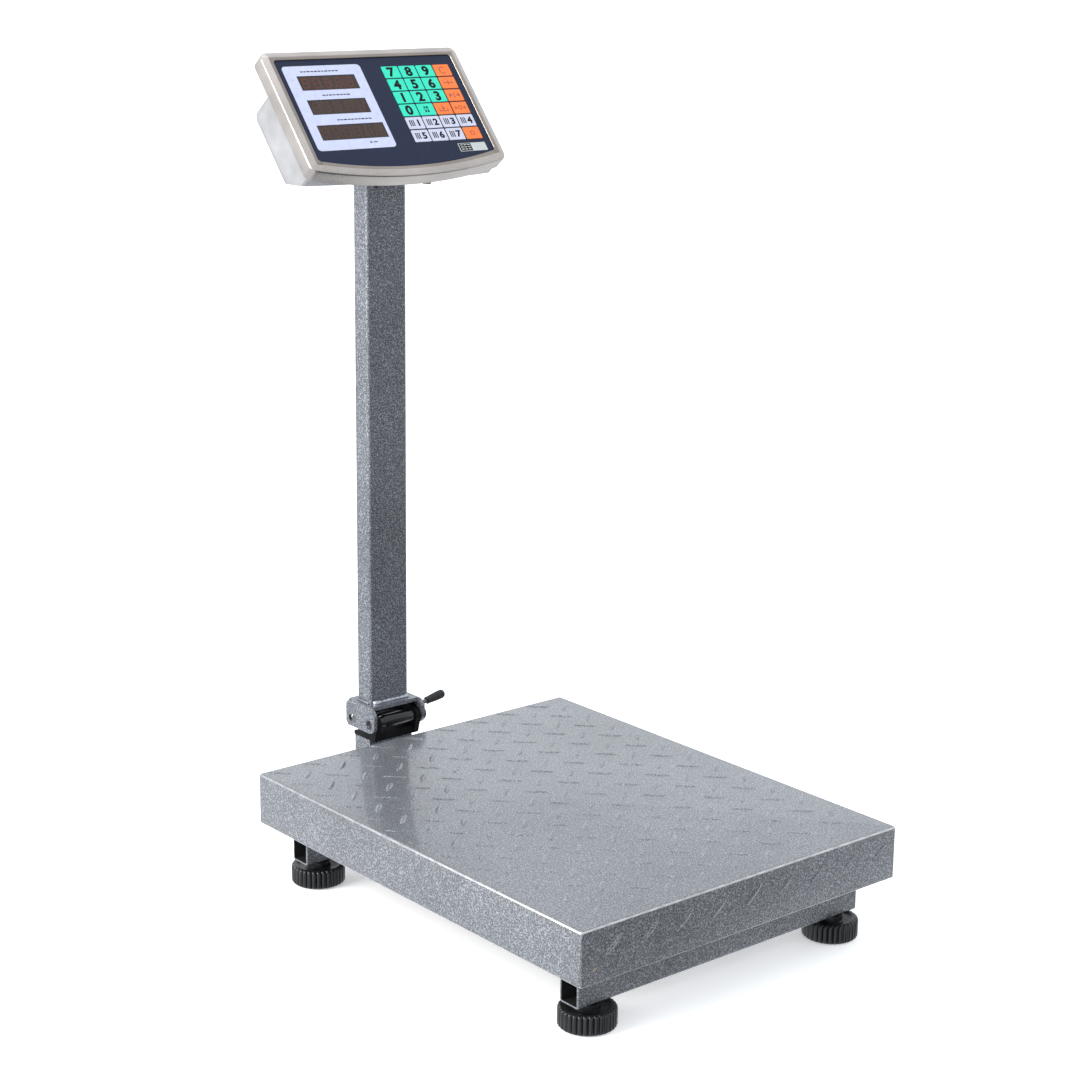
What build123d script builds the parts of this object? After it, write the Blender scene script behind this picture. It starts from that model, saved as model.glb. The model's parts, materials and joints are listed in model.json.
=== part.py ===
from build123d import *
import math
import os

os.makedirs("parts", exist_ok=True)

# Folding platform scale. X: operator's right, Y: away from the operator, Z: up, floor at Z = 0.
# The origin is on the floor under the centre of the whole scale, so the platform centre lies at CY.

CY = -57.25
TOP_Z = 114.5

# Platform cover
PLAT_W = 400
PLAT_L = 500
SKIRT_H = 52.5
COVER_T = 1.5
BEND_R = 3
BAR_L = 25
BAR_W = 6
BAR_H = 0.8
BAR_PITCH_X = 42.4
BAR_PITCH_Y = 40.2
BAR_COLS = 9
BAR_ROWS = 12
BAR_LEFT = (-12.9, 16.4)
BAR_RIGHT = (8.3, -3.7)

# Load frame under the cover
PAD_H = 3
PAD_SIZE = 24
FRAME_W = 380
FRAME_L = 480
FRAME_S = 20
FRAME_T = 2
CROSS_Y = 55
CROSS_W = 40
CROSS_T = 12

# Load cell
CELL_W = 34
CELL_L = 150
CELL_H = 34
CELL_BORE_R = 11
CELL_BORE_Y = 16
SPACER_T = 3
CELL_BOLT_R = 4
CELL_BOLT_Y = (45, 65)
CELL_BOLT_DEPTH = 16

# Base weldment
TUBE_L = 356
TUBE_D = 25
TUBE_H = 50
TUBE_T = 2
TUBE_Y = 209.5
BASE_Z = 25
SPINE_W = 50
SPINE_H = 25
POST_W = 56
POST_D = 27
POST_Y = 296
POST_T = 2.5
POST_TOP = TOP_Z - 14.5

# Levelling feet
FOOT_X = 156
FOOT_R = 26
RIB_R = 1.6
RIB_COUNT = 32
KNOB_H = 20
HUB_R = 12
DISH_R = 22.5
DISH_DEPTH = 3
STUD_R = 5
STUD_TOP = 60
NUT_AF = 17
NUT_H = 8
RUN = 0.08
SLIP = 0.03

# Hinge
PIN_Y = 289.4
PIN_Z = TOP_Z + 5
PIN_R = 5
PIN_HEAD_R = 8
PIN_HEAD_H = 4
LUG_R = 9
LUG_IN = 23.2
LUG_OUT = 29.2
SLEEVE_R = 7.25
CHEEK_OUT = 33.7
PLATE_T = 4
BRACKET_TOP = TOP_Z + 24
BRACKET_BACK = 331.5
BRACKET_FRONT = 287.3
CHEEK_R = 9.5

# Lock rod
ROD_R = 4
ROD_Y = 317.5
ROD_Z = TOP_Z + 4.5
ROD_STROKE = 5
ROD_GAP = 0.4
NECK_R = 2.5
NECK_X = 62
GRIP_L = 25
GRIP_ANGLE = 10

# Column
COL_W = 50
COL_D = 25
COL_Y = 298
COL_T = 1.5
COL_R = 3.5
COL_TOP = TOP_Z + 580
HEAD_PLATE_W = 84
HEAD_PLATE_Y0 = 266
HEAD_PLATE_Y1 = 324
HEAD_PLATE_T = 3
HEAD_SCREW_X = 33
HEAD_SCREW_Y = (274, 306)
HEAD_SCREW_R = 2.5

# Indicator: local x to the right, local y up the face, local z out of the face
FACE_SLOPE = 50
HEAD_W = 243
HEAD_EDGE_TOP = 11
HEAD_EDGE_SIDE = -130
HEAD_EDGE_MID = -144
HEAD_CORNER = 8
BEZEL_D = 16
RIM_H = 2
SHEET_T = 1.2
RECESS = 1.2
PANEL_T = 1.5
MEMBRANE_W = 220
MEMBRANE_SIDE = -120
MEMBRANE_MID = -132.5
SHELL_W = 236
SHELL_TOP = -20
SHELL_D = 57
SHELL_T = 2
SHELL_R = 8
FLANGE_T = 1.5
HEAD_BOTTOM = COL_TOP + HEAD_PLATE_T
WINDOWS = ((-90.7, -20.7, -19.3, -36.8), (-91.4, -20.8, -48.3, -66.0), (-93.6, -13.4, -78.6, -96.6))
WINDOW_T = 1
KEY_X0 = 15.5
KEY_Y0 = -11.3
KEY_PITCH_X = 21.9
KEY_PITCH_Y = 15.8
KEY_W = 20.3
KEY_H = 14.2
KEY_T = 0.8
KEY_RISE = 0.3
KEY_GAP = 0.35
KEY_COLS = 4
KEY_ROWS = 6
LED_T = 6.4
LED_MARGIN = 2
BOARD_W = 212
BOARD_TOP = -8
BOARD_H = 102
BOARD_T = 1.6
SCREW_R = 1.5
SCREW_HEAD_R = 2.8
SCREW_HEAD_H = 2
STUD_POINTS = ((-100, -13), (100, -13), (0, -13), (-100, -105), (0, -105), (100, -105))
CASE_POINTS = ((-100, -2), (-35, -2), (35, -2), (100, -2))

HEAD = Plane(
    origin=(0, CY + 337, TOP_Z + 700.3),
    x_dir=(1, 0, 0),
    z_dir=(0, -math.sin(math.radians(FACE_SLOPE)), math.cos(math.radians(FACE_SLOPE))),
)


def write(name, part):
    part.label = name
    export_step(part, f"parts/{name}.step")


def tube(size_x, size_y, size_z, wall, centre, along):
    """A rectangular tube with open ends, along the axis named."""
    inner = {"X": (0, 2, 2), "Y": (2, 0, 2), "Z": (2, 2, 0)}[along]
    with BuildPart() as made:
        with Locations(centre):
            Box(size_x, size_y, size_z)
            Box(
                size_x - inner[0] * wall,
                size_y - inner[1] * wall,
                size_z - inner[2] * wall,
                mode=Mode.SUBTRACT,
            )
    return made.part


# ---------------------------------------------------------------- platform cover
with BuildPart() as cover:
    with Locations((0, CY, TOP_Z - SKIRT_H / 2)):
        Box(PLAT_W, PLAT_L, SKIRT_H)
    fillet(cover.edges().filter_by(Axis.Z), BEND_R)
    fillet(cover.faces().sort_by(Axis.Z)[-1].edges(), BEND_R - 1)
    with BuildSketch(Plane.XY.offset(TOP_Z - COVER_T)):
        with Locations((0, CY)):
            RectangleRounded(PLAT_W - 2 * COVER_T, PLAT_L - 2 * COVER_T, BEND_R - COVER_T)
    extrude(amount=-SKIRT_H, mode=Mode.SUBTRACT)
    with BuildSketch(Plane.XY.offset(TOP_Z)) as bars:
        for turn, (x, y) in ((-45, BAR_LEFT), (45, BAR_RIGHT)):
            with Locations((x, CY + y)):
                with GridLocations(BAR_PITCH_X, BAR_PITCH_Y, BAR_COLS, BAR_ROWS):
                    SlotOverall(BAR_L, BAR_W, rotation=turn)
    extrude(amount=BAR_H)
write("platform_cover", cover.part)

# ---------------------------------------------------------------- load frame and pads
FRAME_TOP = TOP_Z - COVER_T - PAD_H
PAD_X = FRAME_W / 2 - FRAME_S / 2 - 4
PAD_Y = FRAME_L / 2 - FRAME_S / 2 - 4

with BuildPart() as pads:
    with BuildSketch(Plane.XY.offset(FRAME_TOP)):
        with Locations((0, CY)):
            with GridLocations(2 * PAD_X, 2 * PAD_Y, 2, 2):
                RectangleRounded(PAD_SIZE, PAD_SIZE, 3)
    extrude(amount=PAD_H)
write("cover_pads", pads.part)

with BuildPart() as frame:
    with BuildSketch(Plane.XY.offset(FRAME_TOP)):
        with Locations((0, CY)):
            Rectangle(FRAME_W, FRAME_L)
            Rectangle(FRAME_W - 2 * FRAME_S, FRAME_L - 2 * FRAME_S, mode=Mode.SUBTRACT)
    extrude(amount=-FRAME_S)
    with BuildSketch(Plane.XY.offset(FRAME_TOP - FRAME_T)):
        with Locations((0, CY)):
            Rectangle(FRAME_W - 2 * FRAME_T, FRAME_L - 2 * FRAME_T)
            Rectangle(
                FRAME_W - 2 * FRAME_S + 2 * FRAME_T,
                FRAME_L - 2 * FRAME_S + 2 * FRAME_T,
                mode=Mode.SUBTRACT,
            )
    extrude(amount=-FRAME_S, mode=Mode.SUBTRACT)
    with BuildSketch(Plane.XY.offset(FRAME_TOP - FRAME_S)):
        with Locations((0, CY - CROSS_Y), (0, CY + CROSS_Y)):
            Rectangle(FRAME_W - 2 * FRAME_S + 1, CROSS_W)
    extrude(amount=CROSS_T)
    with BuildSketch(Plane.XY.offset(FRAME_TOP)):
        with Locations(*[(0, CY - y) for y in CELL_BOLT_Y]):
            Circle(CELL_BOLT_R + RUN)
    extrude(amount=-FRAME_S, mode=Mode.SUBTRACT)
write("load_frame", frame.part)

# ---------------------------------------------------------------- load cell
CELL_TOP = FRAME_TOP - FRAME_S - SPACER_T
CELL_BOTTOM = CELL_TOP - CELL_H
SPINE_TOP = BASE_Z + SPINE_H
LOWER_SPACER_T = CELL_BOTTOM - SPINE_TOP

with BuildPart() as cell:
    with Locations((0, CY, CELL_TOP - CELL_H / 2)):
        Box(CELL_W, CELL_L, CELL_H)
    fillet(cell.edges().filter_by(Axis.Y), 1.5)
    with BuildSketch(Plane.YZ.offset(-CELL_W)):
        with Locations((CY - CELL_BORE_Y, CELL_TOP - CELL_H / 2), (CY + CELL_BORE_Y, CELL_TOP - CELL_H / 2)):
            Circle(CELL_BORE_R)
        with Locations((CY, CELL_TOP - CELL_H / 2)):
            Rectangle(2 * CELL_BORE_Y, CELL_BORE_R)
    extrude(amount=2 * CELL_W, mode=Mode.SUBTRACT)
    with BuildSketch(Plane.XY.offset(CELL_TOP)):
        with Locations(*[(0, CY - y) for y in CELL_BOLT_Y]):
            Circle(CELL_BOLT_R + SLIP)
    extrude(amount=-CELL_BOLT_DEPTH - 1, mode=Mode.SUBTRACT)
    with BuildSketch(Plane.XY.offset(CELL_BOTTOM)):
        with Locations(*[(0, CY + y) for y in CELL_BOLT_Y]):
            Circle(CELL_BOLT_R + SLIP)
    extrude(amount=CELL_BOLT_DEPTH + 1, mode=Mode.SUBTRACT)
write("load_cell", cell.part)

with BuildPart() as spacers:
    with BuildSketch(Plane.XY.offset(CELL_TOP)):
        with Locations((0, CY - CROSS_Y)):
            Rectangle(CELL_W, CROSS_W)
        with Locations(*[(0, CY - y) for y in CELL_BOLT_Y]):
            Circle(CELL_BOLT_R + RUN, mode=Mode.SUBTRACT)
    extrude(amount=SPACER_T)
    with BuildSketch(Plane.XY.offset(SPINE_TOP)):
        with Locations((0, CY + CROSS_Y)):
            Rectangle(CELL_W, CROSS_W)
        with Locations(*[(0, CY + y) for y in CELL_BOLT_Y]):
            Circle(CELL_BOLT_R + RUN, mode=Mode.SUBTRACT)
    extrude(amount=LOWER_SPACER_T)
write("cell_spacers", spacers.part)

BOLT_HEAD_R = 6.5
BOLT_HEAD_H = 6
UPPER_SEAT = FRAME_TOP - FRAME_S + CROSS_T
LOWER_SEAT = SPINE_TOP - POST_T

with BuildPart() as cell_bolts:
    with BuildSketch(Plane.XY.offset(CELL_TOP - CELL_BOLT_DEPTH)):
        with Locations(*[(0, CY - y) for y in CELL_BOLT_Y]):
            Circle(CELL_BOLT_R)
    extrude(amount=UPPER_SEAT - CELL_TOP + CELL_BOLT_DEPTH)
    with BuildSketch(Plane.XY.offset(UPPER_SEAT)):
        with Locations(*[(0, CY - y) for y in CELL_BOLT_Y]):
            Circle(BOLT_HEAD_R)
    extrude(amount=BOLT_HEAD_H)
    with BuildSketch(Plane.XY.offset(LOWER_SEAT)):
        with Locations(*[(0, CY + y) for y in CELL_BOLT_Y]):
            Circle(CELL_BOLT_R)
    extrude(amount=CELL_BOTTOM - LOWER_SEAT + CELL_BOLT_DEPTH)
    with BuildSketch(Plane.XY.offset(LOWER_SEAT)):
        with Locations(*[(0, CY + y) for y in CELL_BOLT_Y]):
            Circle(BOLT_HEAD_R)
    extrude(amount=-BOLT_HEAD_H)
write("cell_bolts", cell_bolts.part)

# ---------------------------------------------------------------- base weldment
for name, side in (("base_front_tube", -1), ("base_rear_tube", 1)):
    body = tube(TUBE_L, TUBE_D, TUBE_H, TUBE_T, (0, CY + side * TUBE_Y, BASE_Z + TUBE_H / 2), "X")
    with BuildPart() as cross_tube:
        add(body)
        with BuildSketch(Plane.XY.offset(BASE_Z)):
            with Locations((-FOOT_X, CY + side * TUBE_Y), (FOOT_X, CY + side * TUBE_Y)):
                Circle(STUD_R + 1)
        extrude(amount=TUBE_T, mode=Mode.SUBTRACT)
    write(name, cross_tube.part)

SPINE_L = 2 * TUBE_Y - TUBE_D
ARM_Y0 = TUBE_Y + TUBE_D / 2
ARM_L = POST_Y - ARM_Y0
SPINE_Z = BASE_Z + SPINE_H / 2
spine_body = tube(SPINE_W, SPINE_L, SPINE_H, POST_T, (0, CY, SPINE_Z), "Y")
arm_body = tube(SPINE_W, ARM_L, SPINE_H, POST_T, (0, CY + ARM_Y0 + ARM_L / 2, SPINE_Z), "Y")
with BuildPart() as spine:
    add(spine_body)
    add(arm_body)
    with BuildSketch(Plane.XY.offset(SPINE_TOP)):
        with Locations(*[(0, CY + y) for y in CELL_BOLT_Y]):
            Circle(CELL_BOLT_R + RUN)
    extrude(amount=-POST_T, mode=Mode.SUBTRACT)
    with BuildSketch(Plane.XY.offset(BASE_Z)):
        with Locations(*[(0, CY + y) for y in CELL_BOLT_Y]):
            Circle(BOLT_HEAD_R + 1)
    extrude(amount=POST_T, mode=Mode.SUBTRACT)
write("base_spine", spine.part)

POST_H = POST_TOP - BASE_Z
POST_BACK = CY + POST_Y + POST_D
CAST_BOLT_Z = POST_TOP - 10
CAST_BOLT_X = 14
CAST_BOLT_R = 3
post_body = tube(
    POST_W, POST_D, POST_H, POST_T, (0, CY + POST_Y + POST_D / 2, BASE_Z + POST_H / 2), "Z"
)
with BuildPart() as post:
    add(post_body)
    with BuildSketch(Plane.XZ.offset(-POST_BACK)):
        with Locations((-CAST_BOLT_X, CAST_BOLT_Z), (CAST_BOLT_X, CAST_BOLT_Z)):
            Circle(CAST_BOLT_R + RUN)
    extrude(amount=POST_T + 1, mode=Mode.SUBTRACT)
write("post_tube", post.part)

# ---------------------------------------------------------------- feet
with BuildPart() as nuts:
    with BuildSketch(Plane.XY.offset(BASE_Z + TUBE_T)):
        with Locations((0, CY)):
            with GridLocations(2 * FOOT_X, 2 * TUBE_Y, 2, 2):
                RegularPolygon(NUT_AF / 2, 6, major_radius=False)
                Circle(STUD_R + RUN, mode=Mode.SUBTRACT)
    extrude(amount=NUT_H)
write("foot_nuts", nuts.part)

FEET = (
    ("foot_front_left", -1, -1),
    ("foot_front_right", 1, -1),
    ("foot_rear_left", -1, 1),
    ("foot_rear_right", 1, 1),
)
for name, side_x, side_y in FEET:
    foot_plane = Plane((side_x * FOOT_X, CY + side_y * TUBE_Y, 0))
    with BuildPart() as foot:
        with BuildSketch(foot_plane):
            Circle(FOOT_R)
        extrude(amount=KNOB_H)
        fillet(foot.edges().sort_by(Axis.Z)[0], 2)
        with BuildSketch(foot_plane.offset(2.5)):
            with PolarLocations(FOOT_R - 0.4, RIB_COUNT):
                Circle(RIB_R)
        extrude(amount=KNOB_H - 4)
        with BuildSketch(foot_plane.offset(KNOB_H)):
            Circle(DISH_R)
            Circle(HUB_R, mode=Mode.SUBTRACT)
        extrude(amount=-DISH_DEPTH, mode=Mode.SUBTRACT)
        with BuildSketch(foot_plane.offset(KNOB_H)):
            Circle(HUB_R)
        extrude(amount=BASE_Z - KNOB_H - 1.5, taper=8)
        with BuildSketch(foot_plane.offset(BASE_Z - 1.5)):
            Circle(STUD_R)
        extrude(amount=STUD_TOP - BASE_Z + 1.5)
    write(name, foot.part)

# ---------------------------------------------------------------- hinge casting on the post
CAST_Z = POST_TOP
CAST_T = 4
APRON_Y = 286
LUG_BACK = 307
LUG_FLAT = 299
LUG_TOP = BRACKET_TOP - PLATE_T - 0.3
PLUG_D = POST_D - 2 * POST_T - 0.6
PLUG_W = POST_W - 2 * POST_T - 0.6
PLUG_H = 20
TONGUE_W = 16
TONGUE_END = 334


def lug(inner, outer):
    """One side plate of the casting, from its base up round the hinge pin."""
    with BuildPart() as made:
        with BuildSketch(Plane.YZ.offset(inner)):
            with BuildLine():
                Polyline(
                    (CY + APRON_Y, CAST_Z),
                    (CY + LUG_BACK, CAST_Z),
                    (CY + LUG_BACK, LUG_TOP),
                    (CY + LUG_FLAT, LUG_TOP),
                    (CY + PIN_Y, PIN_Z + LUG_R),
                    (CY + PIN_Y - LUG_R, PIN_Z),
                    close=True,
                )
            make_face()
            with Locations((CY + PIN_Y, PIN_Z)):
                Circle(LUG_R)
        extrude(amount=outer - inner)
    return made.part


left_lug = lug(-LUG_OUT, -LUG_IN)
right_lug = lug(LUG_IN, LUG_OUT)
with BuildPart() as casting:
    with BuildSketch(Plane.XY.offset(CAST_Z)):
        with Locations((0, CY + POST_Y + POST_D / 2)):
            Rectangle(2 * LUG_OUT, POST_D)
        with Locations((0, CY + (APRON_Y + POST_Y) / 2)):
            Rectangle(2 * LUG_OUT, POST_Y - APRON_Y)
        with Locations((0, CY + (POST_Y + TONGUE_END) / 2)):
            Rectangle(TONGUE_W, TONGUE_END - POST_Y)
    extrude(amount=CAST_T)
    with BuildSketch(Plane.XY.offset(CAST_Z)):
        with Locations((0, CY + (APRON_Y + POST_Y) / 2)):
            Rectangle(2 * LUG_OUT, POST_Y - APRON_Y)
    extrude(amount=8.5)
    add(left_lug)
    add(right_lug)
    with BuildSketch(Plane.XY.offset(CAST_Z)):
        with Locations((0, CY + POST_Y + POST_D / 2)):
            RectangleRounded(PLUG_W, PLUG_D, 1)
    extrude(amount=-PLUG_H)
    with BuildSketch(Plane.YZ.offset(-LUG_OUT)):
        with Locations((CY + PIN_Y, PIN_Z)):
            Circle(PIN_R + SLIP)
    extrude(amount=2 * LUG_OUT, mode=Mode.SUBTRACT)
    with BuildSketch(Plane.XZ.offset(-POST_BACK)):
        with Locations((-CAST_BOLT_X, CAST_BOLT_Z), (CAST_BOLT_X, CAST_BOLT_Z)):
            Circle(CAST_BOLT_R + SLIP)
    extrude(amount=PLUG_D, mode=Mode.SUBTRACT)
write("hinge_casting", casting.part)

with BuildPart() as casting_bolts:
    with BuildSketch(Plane.XZ.offset(-POST_BACK)):
        with Locations((-CAST_BOLT_X, CAST_BOLT_Z), (CAST_BOLT_X, CAST_BOLT_Z)):
            Circle(CAST_BOLT_R)
    extrude(amount=PLUG_D - 2)
    with BuildSketch(Plane.XZ.offset(-POST_BACK)):
        with Locations((-CAST_BOLT_X, CAST_BOLT_Z), (CAST_BOLT_X, CAST_BOLT_Z)):
            RegularPolygon(5, 6, major_radius=False)
    extrude(amount=-4)
write("casting_bolts", casting_bolts.part)

HOOK_W = 8
HOOK_TIP = 322
HOOK_STEM = ROD_Y + ROD_STROKE + ROD_R + 0.7
HOOK_BACK = 332.2
HOOK_TOP = TOP_Z + 13.5
with BuildPart() as hook:
    with BuildSketch(Plane.YZ.offset(-HOOK_W / 2)):
        with BuildLine():
            Polyline(
                (CY + HOOK_STEM, CAST_Z + CAST_T),
                (CY + HOOK_BACK, CAST_Z + CAST_T),
                (CY + HOOK_BACK, HOOK_TOP),
                (CY + HOOK_TIP + 3, HOOK_TOP),
                (CY + HOOK_TIP, HOOK_TOP - 2),
                (CY + HOOK_TIP, ROD_Z + ROD_R + ROD_GAP),
                (CY + HOOK_STEM, ROD_Z + ROD_R + ROD_GAP),
                close=True,
            )
        make_face()
    extrude(amount=HOOK_W)
write("lock_hook", hook.part)

with BuildPart() as pin:
    with BuildSketch(Plane.YZ.offset(-CHEEK_OUT + 0.5)):
        with Locations((CY + PIN_Y, PIN_Z)):
            Circle(PIN_R)
    extrude(amount=2 * CHEEK_OUT)
    with BuildSketch(Plane.YZ.offset(CHEEK_OUT + 0.4)):
        with Locations((CY + PIN_Y, PIN_Z)):
            Circle(PIN_HEAD_R)
    extrude(amount=PIN_HEAD_H)
    fillet(pin.faces().sort_by(Axis.X)[-1].edges(), 1)
write("hinge_pin", pin.part)

with BuildPart() as sleeve:
    with BuildSketch(Plane.YZ.offset(-LUG_IN + 0.2)):
        with Locations((CY + PIN_Y, PIN_Z)):
            Circle(SLEEVE_R)
            Circle(PIN_R + SLIP, mode=Mode.SUBTRACT)
    extrude(amount=2 * LUG_IN - 0.4)
write("hinge_sleeve", sleeve.part)

# ---------------------------------------------------------------- upper bracket
CHEEK_IN = CHEEK_OUT - PLATE_T
CHEEK_LOW = PIN_Z - CHEEK_R


def cheek(inner):
    """One side of the folded bracket, with its pin hole and the slot for the lock rod."""
    with BuildPart() as made:
        with BuildSketch(Plane.YZ.offset(inner)):
            with BuildLine():
                Polyline(
                    (CY + PIN_Y, CHEEK_LOW),
                    (CY + BRACKET_BACK - 4, CHEEK_LOW),
                    (CY + BRACKET_BACK, CHEEK_LOW + 4),
                    (CY + BRACKET_BACK, BRACKET_TOP - 4),
                    (CY + BRACKET_BACK - 4, BRACKET_TOP),
                    (CY + BRACKET_FRONT, BRACKET_TOP),
                    (CY + PIN_Y - CHEEK_R, PIN_Z + 12),
                    (CY + PIN_Y - CHEEK_R, PIN_Z),
                    close=True,
                )
            make_face()
            with Locations((CY + PIN_Y, PIN_Z)):
                Circle(CHEEK_R)
                Circle(PIN_R + RUN, mode=Mode.SUBTRACT)
            with Locations((CY + ROD_Y + ROD_STROKE / 2, ROD_Z)):
                SlotOverall(
                    2 * ROD_R + ROD_STROKE + 2 * ROD_GAP,
                    2 * (ROD_R + RUN),
                    mode=Mode.SUBTRACT,
                )
        extrude(amount=PLATE_T)
    return made.part


left_cheek = cheek(-CHEEK_OUT)
right_cheek = cheek(CHEEK_IN)
with BuildPart() as bracket:
    with BuildSketch(Plane.XY.offset(BRACKET_TOP)):
        with Locations((0, CY + (BRACKET_FRONT + BRACKET_BACK - 4) / 2)):
            Rectangle(2 * CHEEK_OUT, BRACKET_BACK - 4 - BRACKET_FRONT)
        with Locations((0, CY + BRACKET_BACK - 2)):
            Rectangle(2 * CHEEK_IN, 4)
    extrude(amount=-PLATE_T)
    add(left_cheek)
    add(right_cheek)
    top_edges = bracket.edges().filter_by(Axis.Y).group_by(Axis.Z)[-1]
    fillet(top_edges.sort_by(Axis.X)[0], 3)
    top_edges = bracket.edges().filter_by(Axis.Y).group_by(Axis.Z)[-1]
    fillet(top_edges.sort_by(Axis.X)[-1], 3)
write("hinge_bracket", bracket.part)

# ---------------------------------------------------------------- lock rod and grip
GRIP_DIR = (
    math.cos(math.radians(GRIP_ANGLE)),
    0,
    math.sin(math.radians(GRIP_ANGLE)),
)
GRIP_BASE = (NECK_X, CY + ROD_Y, ROD_Z)
NECK_START = (CHEEK_OUT + 2, CY + ROD_Y, ROD_Z)
NECK_END = (
    NECK_X + (GRIP_L - 6) * GRIP_DIR[0],
    CY + ROD_Y,
    ROD_Z + (GRIP_L - 6) * GRIP_DIR[2],
)
with BuildLine() as neck_line:
    FilletPolyline(NECK_START, GRIP_BASE, NECK_END, radius=12)
with BuildPart() as rod:
    with BuildSketch(Plane.YZ.offset(-CHEEK_OUT + 0.5)):
        with Locations((CY + ROD_Y, ROD_Z)):
            Circle(ROD_R)
    extrude(amount=2 * CHEEK_OUT + 4)
    with BuildSketch(Plane(NECK_START, z_dir=(1, 0, 0))):
        Circle(NECK_R)
    sweep(path=neck_line.wires()[0])
write("lock_rod", rod.part)

with BuildPart() as grip:
    with BuildSketch(Plane(GRIP_BASE, z_dir=GRIP_DIR).offset(2)):
        Circle(3.3)
    extrude(amount=GRIP_L - 2, taper=-3)
    fillet(grip.faces().sort_by(Axis(GRIP_BASE, GRIP_DIR))[-1].edges(), 3)
    with BuildSketch(Plane(GRIP_BASE, z_dir=GRIP_DIR).offset(2)):
        Circle(NECK_R + SLIP)
    extrude(amount=GRIP_L - 7, mode=Mode.SUBTRACT)
write("lock_grip", grip.part)

# ---------------------------------------------------------------- column and head plate
with BuildPart() as column:
    with BuildSketch(Plane.XY.offset(BRACKET_TOP)):
        with Locations((0, CY + COL_Y + COL_D / 2)):
            RectangleRounded(COL_W, COL_D, COL_R)
            RectangleRounded(COL_W - 2 * COL_T, COL_D - 2 * COL_T, COL_R - COL_T, mode=Mode.SUBTRACT)
    extrude(amount=COL_TOP - BRACKET_TOP)
write("column_tube", column.part)

SCREW_SPOTS = [(x, CY + y) for x in (-HEAD_SCREW_X, HEAD_SCREW_X) for y in HEAD_SCREW_Y]
with BuildPart() as head_plate:
    with BuildSketch(Plane.XY.offset(COL_TOP)):
        with Locations((0, CY + (HEAD_PLATE_Y0 + HEAD_PLATE_Y1) / 2)):
            RectangleRounded(HEAD_PLATE_W, HEAD_PLATE_Y1 - HEAD_PLATE_Y0, 4)
        with Locations(*SCREW_SPOTS):
            Circle(HEAD_SCREW_R + RUN, mode=Mode.SUBTRACT)
    extrude(amount=HEAD_PLATE_T)
write("head_plate", head_plate.part)

with BuildPart() as plate_screws:
    with BuildSketch(Plane.XY.offset(COL_TOP)):
        with Locations(*SCREW_SPOTS):
            Circle(HEAD_SCREW_R)
    extrude(amount=HEAD_PLATE_T + SHELL_T + 3)
    with BuildSketch(Plane.XY.offset(COL_TOP)):
        with Locations(*SCREW_SPOTS):
            Circle(4.5)
    extrude(amount=-3)
write("head_plate_screws", plate_screws.part)


# ---------------------------------------------------------------- indicator shells
def shield(width, top, side, middle, corner, inset=0):
    """The face outline: straight top and sides, a bowed lower edge, rounded corners."""
    half = width / 2
    with BuildSketch() as made:
        with BuildLine():
            Polyline((-half, side), (-half, top), (half, top), (half, side))
            ThreePointArc((half, side), (0, middle), (-half, side))
        make_face()
        fillet(made.vertices(), corner)
        if inset:
            offset(amount=-inset, kind=Kind.INTERSECTION, mode=Mode.REPLACE)
    return made.sketch


def head_outline(inset=0):
    return shield(HEAD_W, HEAD_EDGE_TOP, HEAD_EDGE_SIDE, HEAD_EDGE_MID, HEAD_CORNER, inset)


def membrane_outline(inset=0):
    return shield(MEMBRANE_W, 0, MEMBRANE_SIDE, MEMBRANE_MID, 3, inset)


def rear_block(inset):
    """The body of the rear shell: square to the face, cut flat and level underneath."""
    height = HEAD_EDGE_MID - SHELL_TOP - 10
    with BuildPart() as made:
        with BuildSketch(HEAD.offset(-SHELL_D + inset)):
            with Locations((0, SHELL_TOP + height / 2)):
                RectangleRounded(SHELL_W - 2 * inset, abs(height) - 2 * inset, 14 - inset)
        extrude(amount=SHELL_D - BEZEL_D - inset)
        with BuildSketch(HEAD.offset(-SHELL_D - 1)):
            add(head_outline(2.5 + inset))
        extrude(amount=SHELL_D + 1, mode=Mode.INTERSECT)
        with Locations((0, CY + 300, HEAD_BOTTOM + inset - 100)):
            Box(2 * SHELL_W, 400, 200, mode=Mode.SUBTRACT)
        back = made.faces().sort_by(Axis(HEAD.origin, HEAD.z_dir))[0]
        fillet(back.edges(), SHELL_R - inset)
    return made.part


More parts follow.
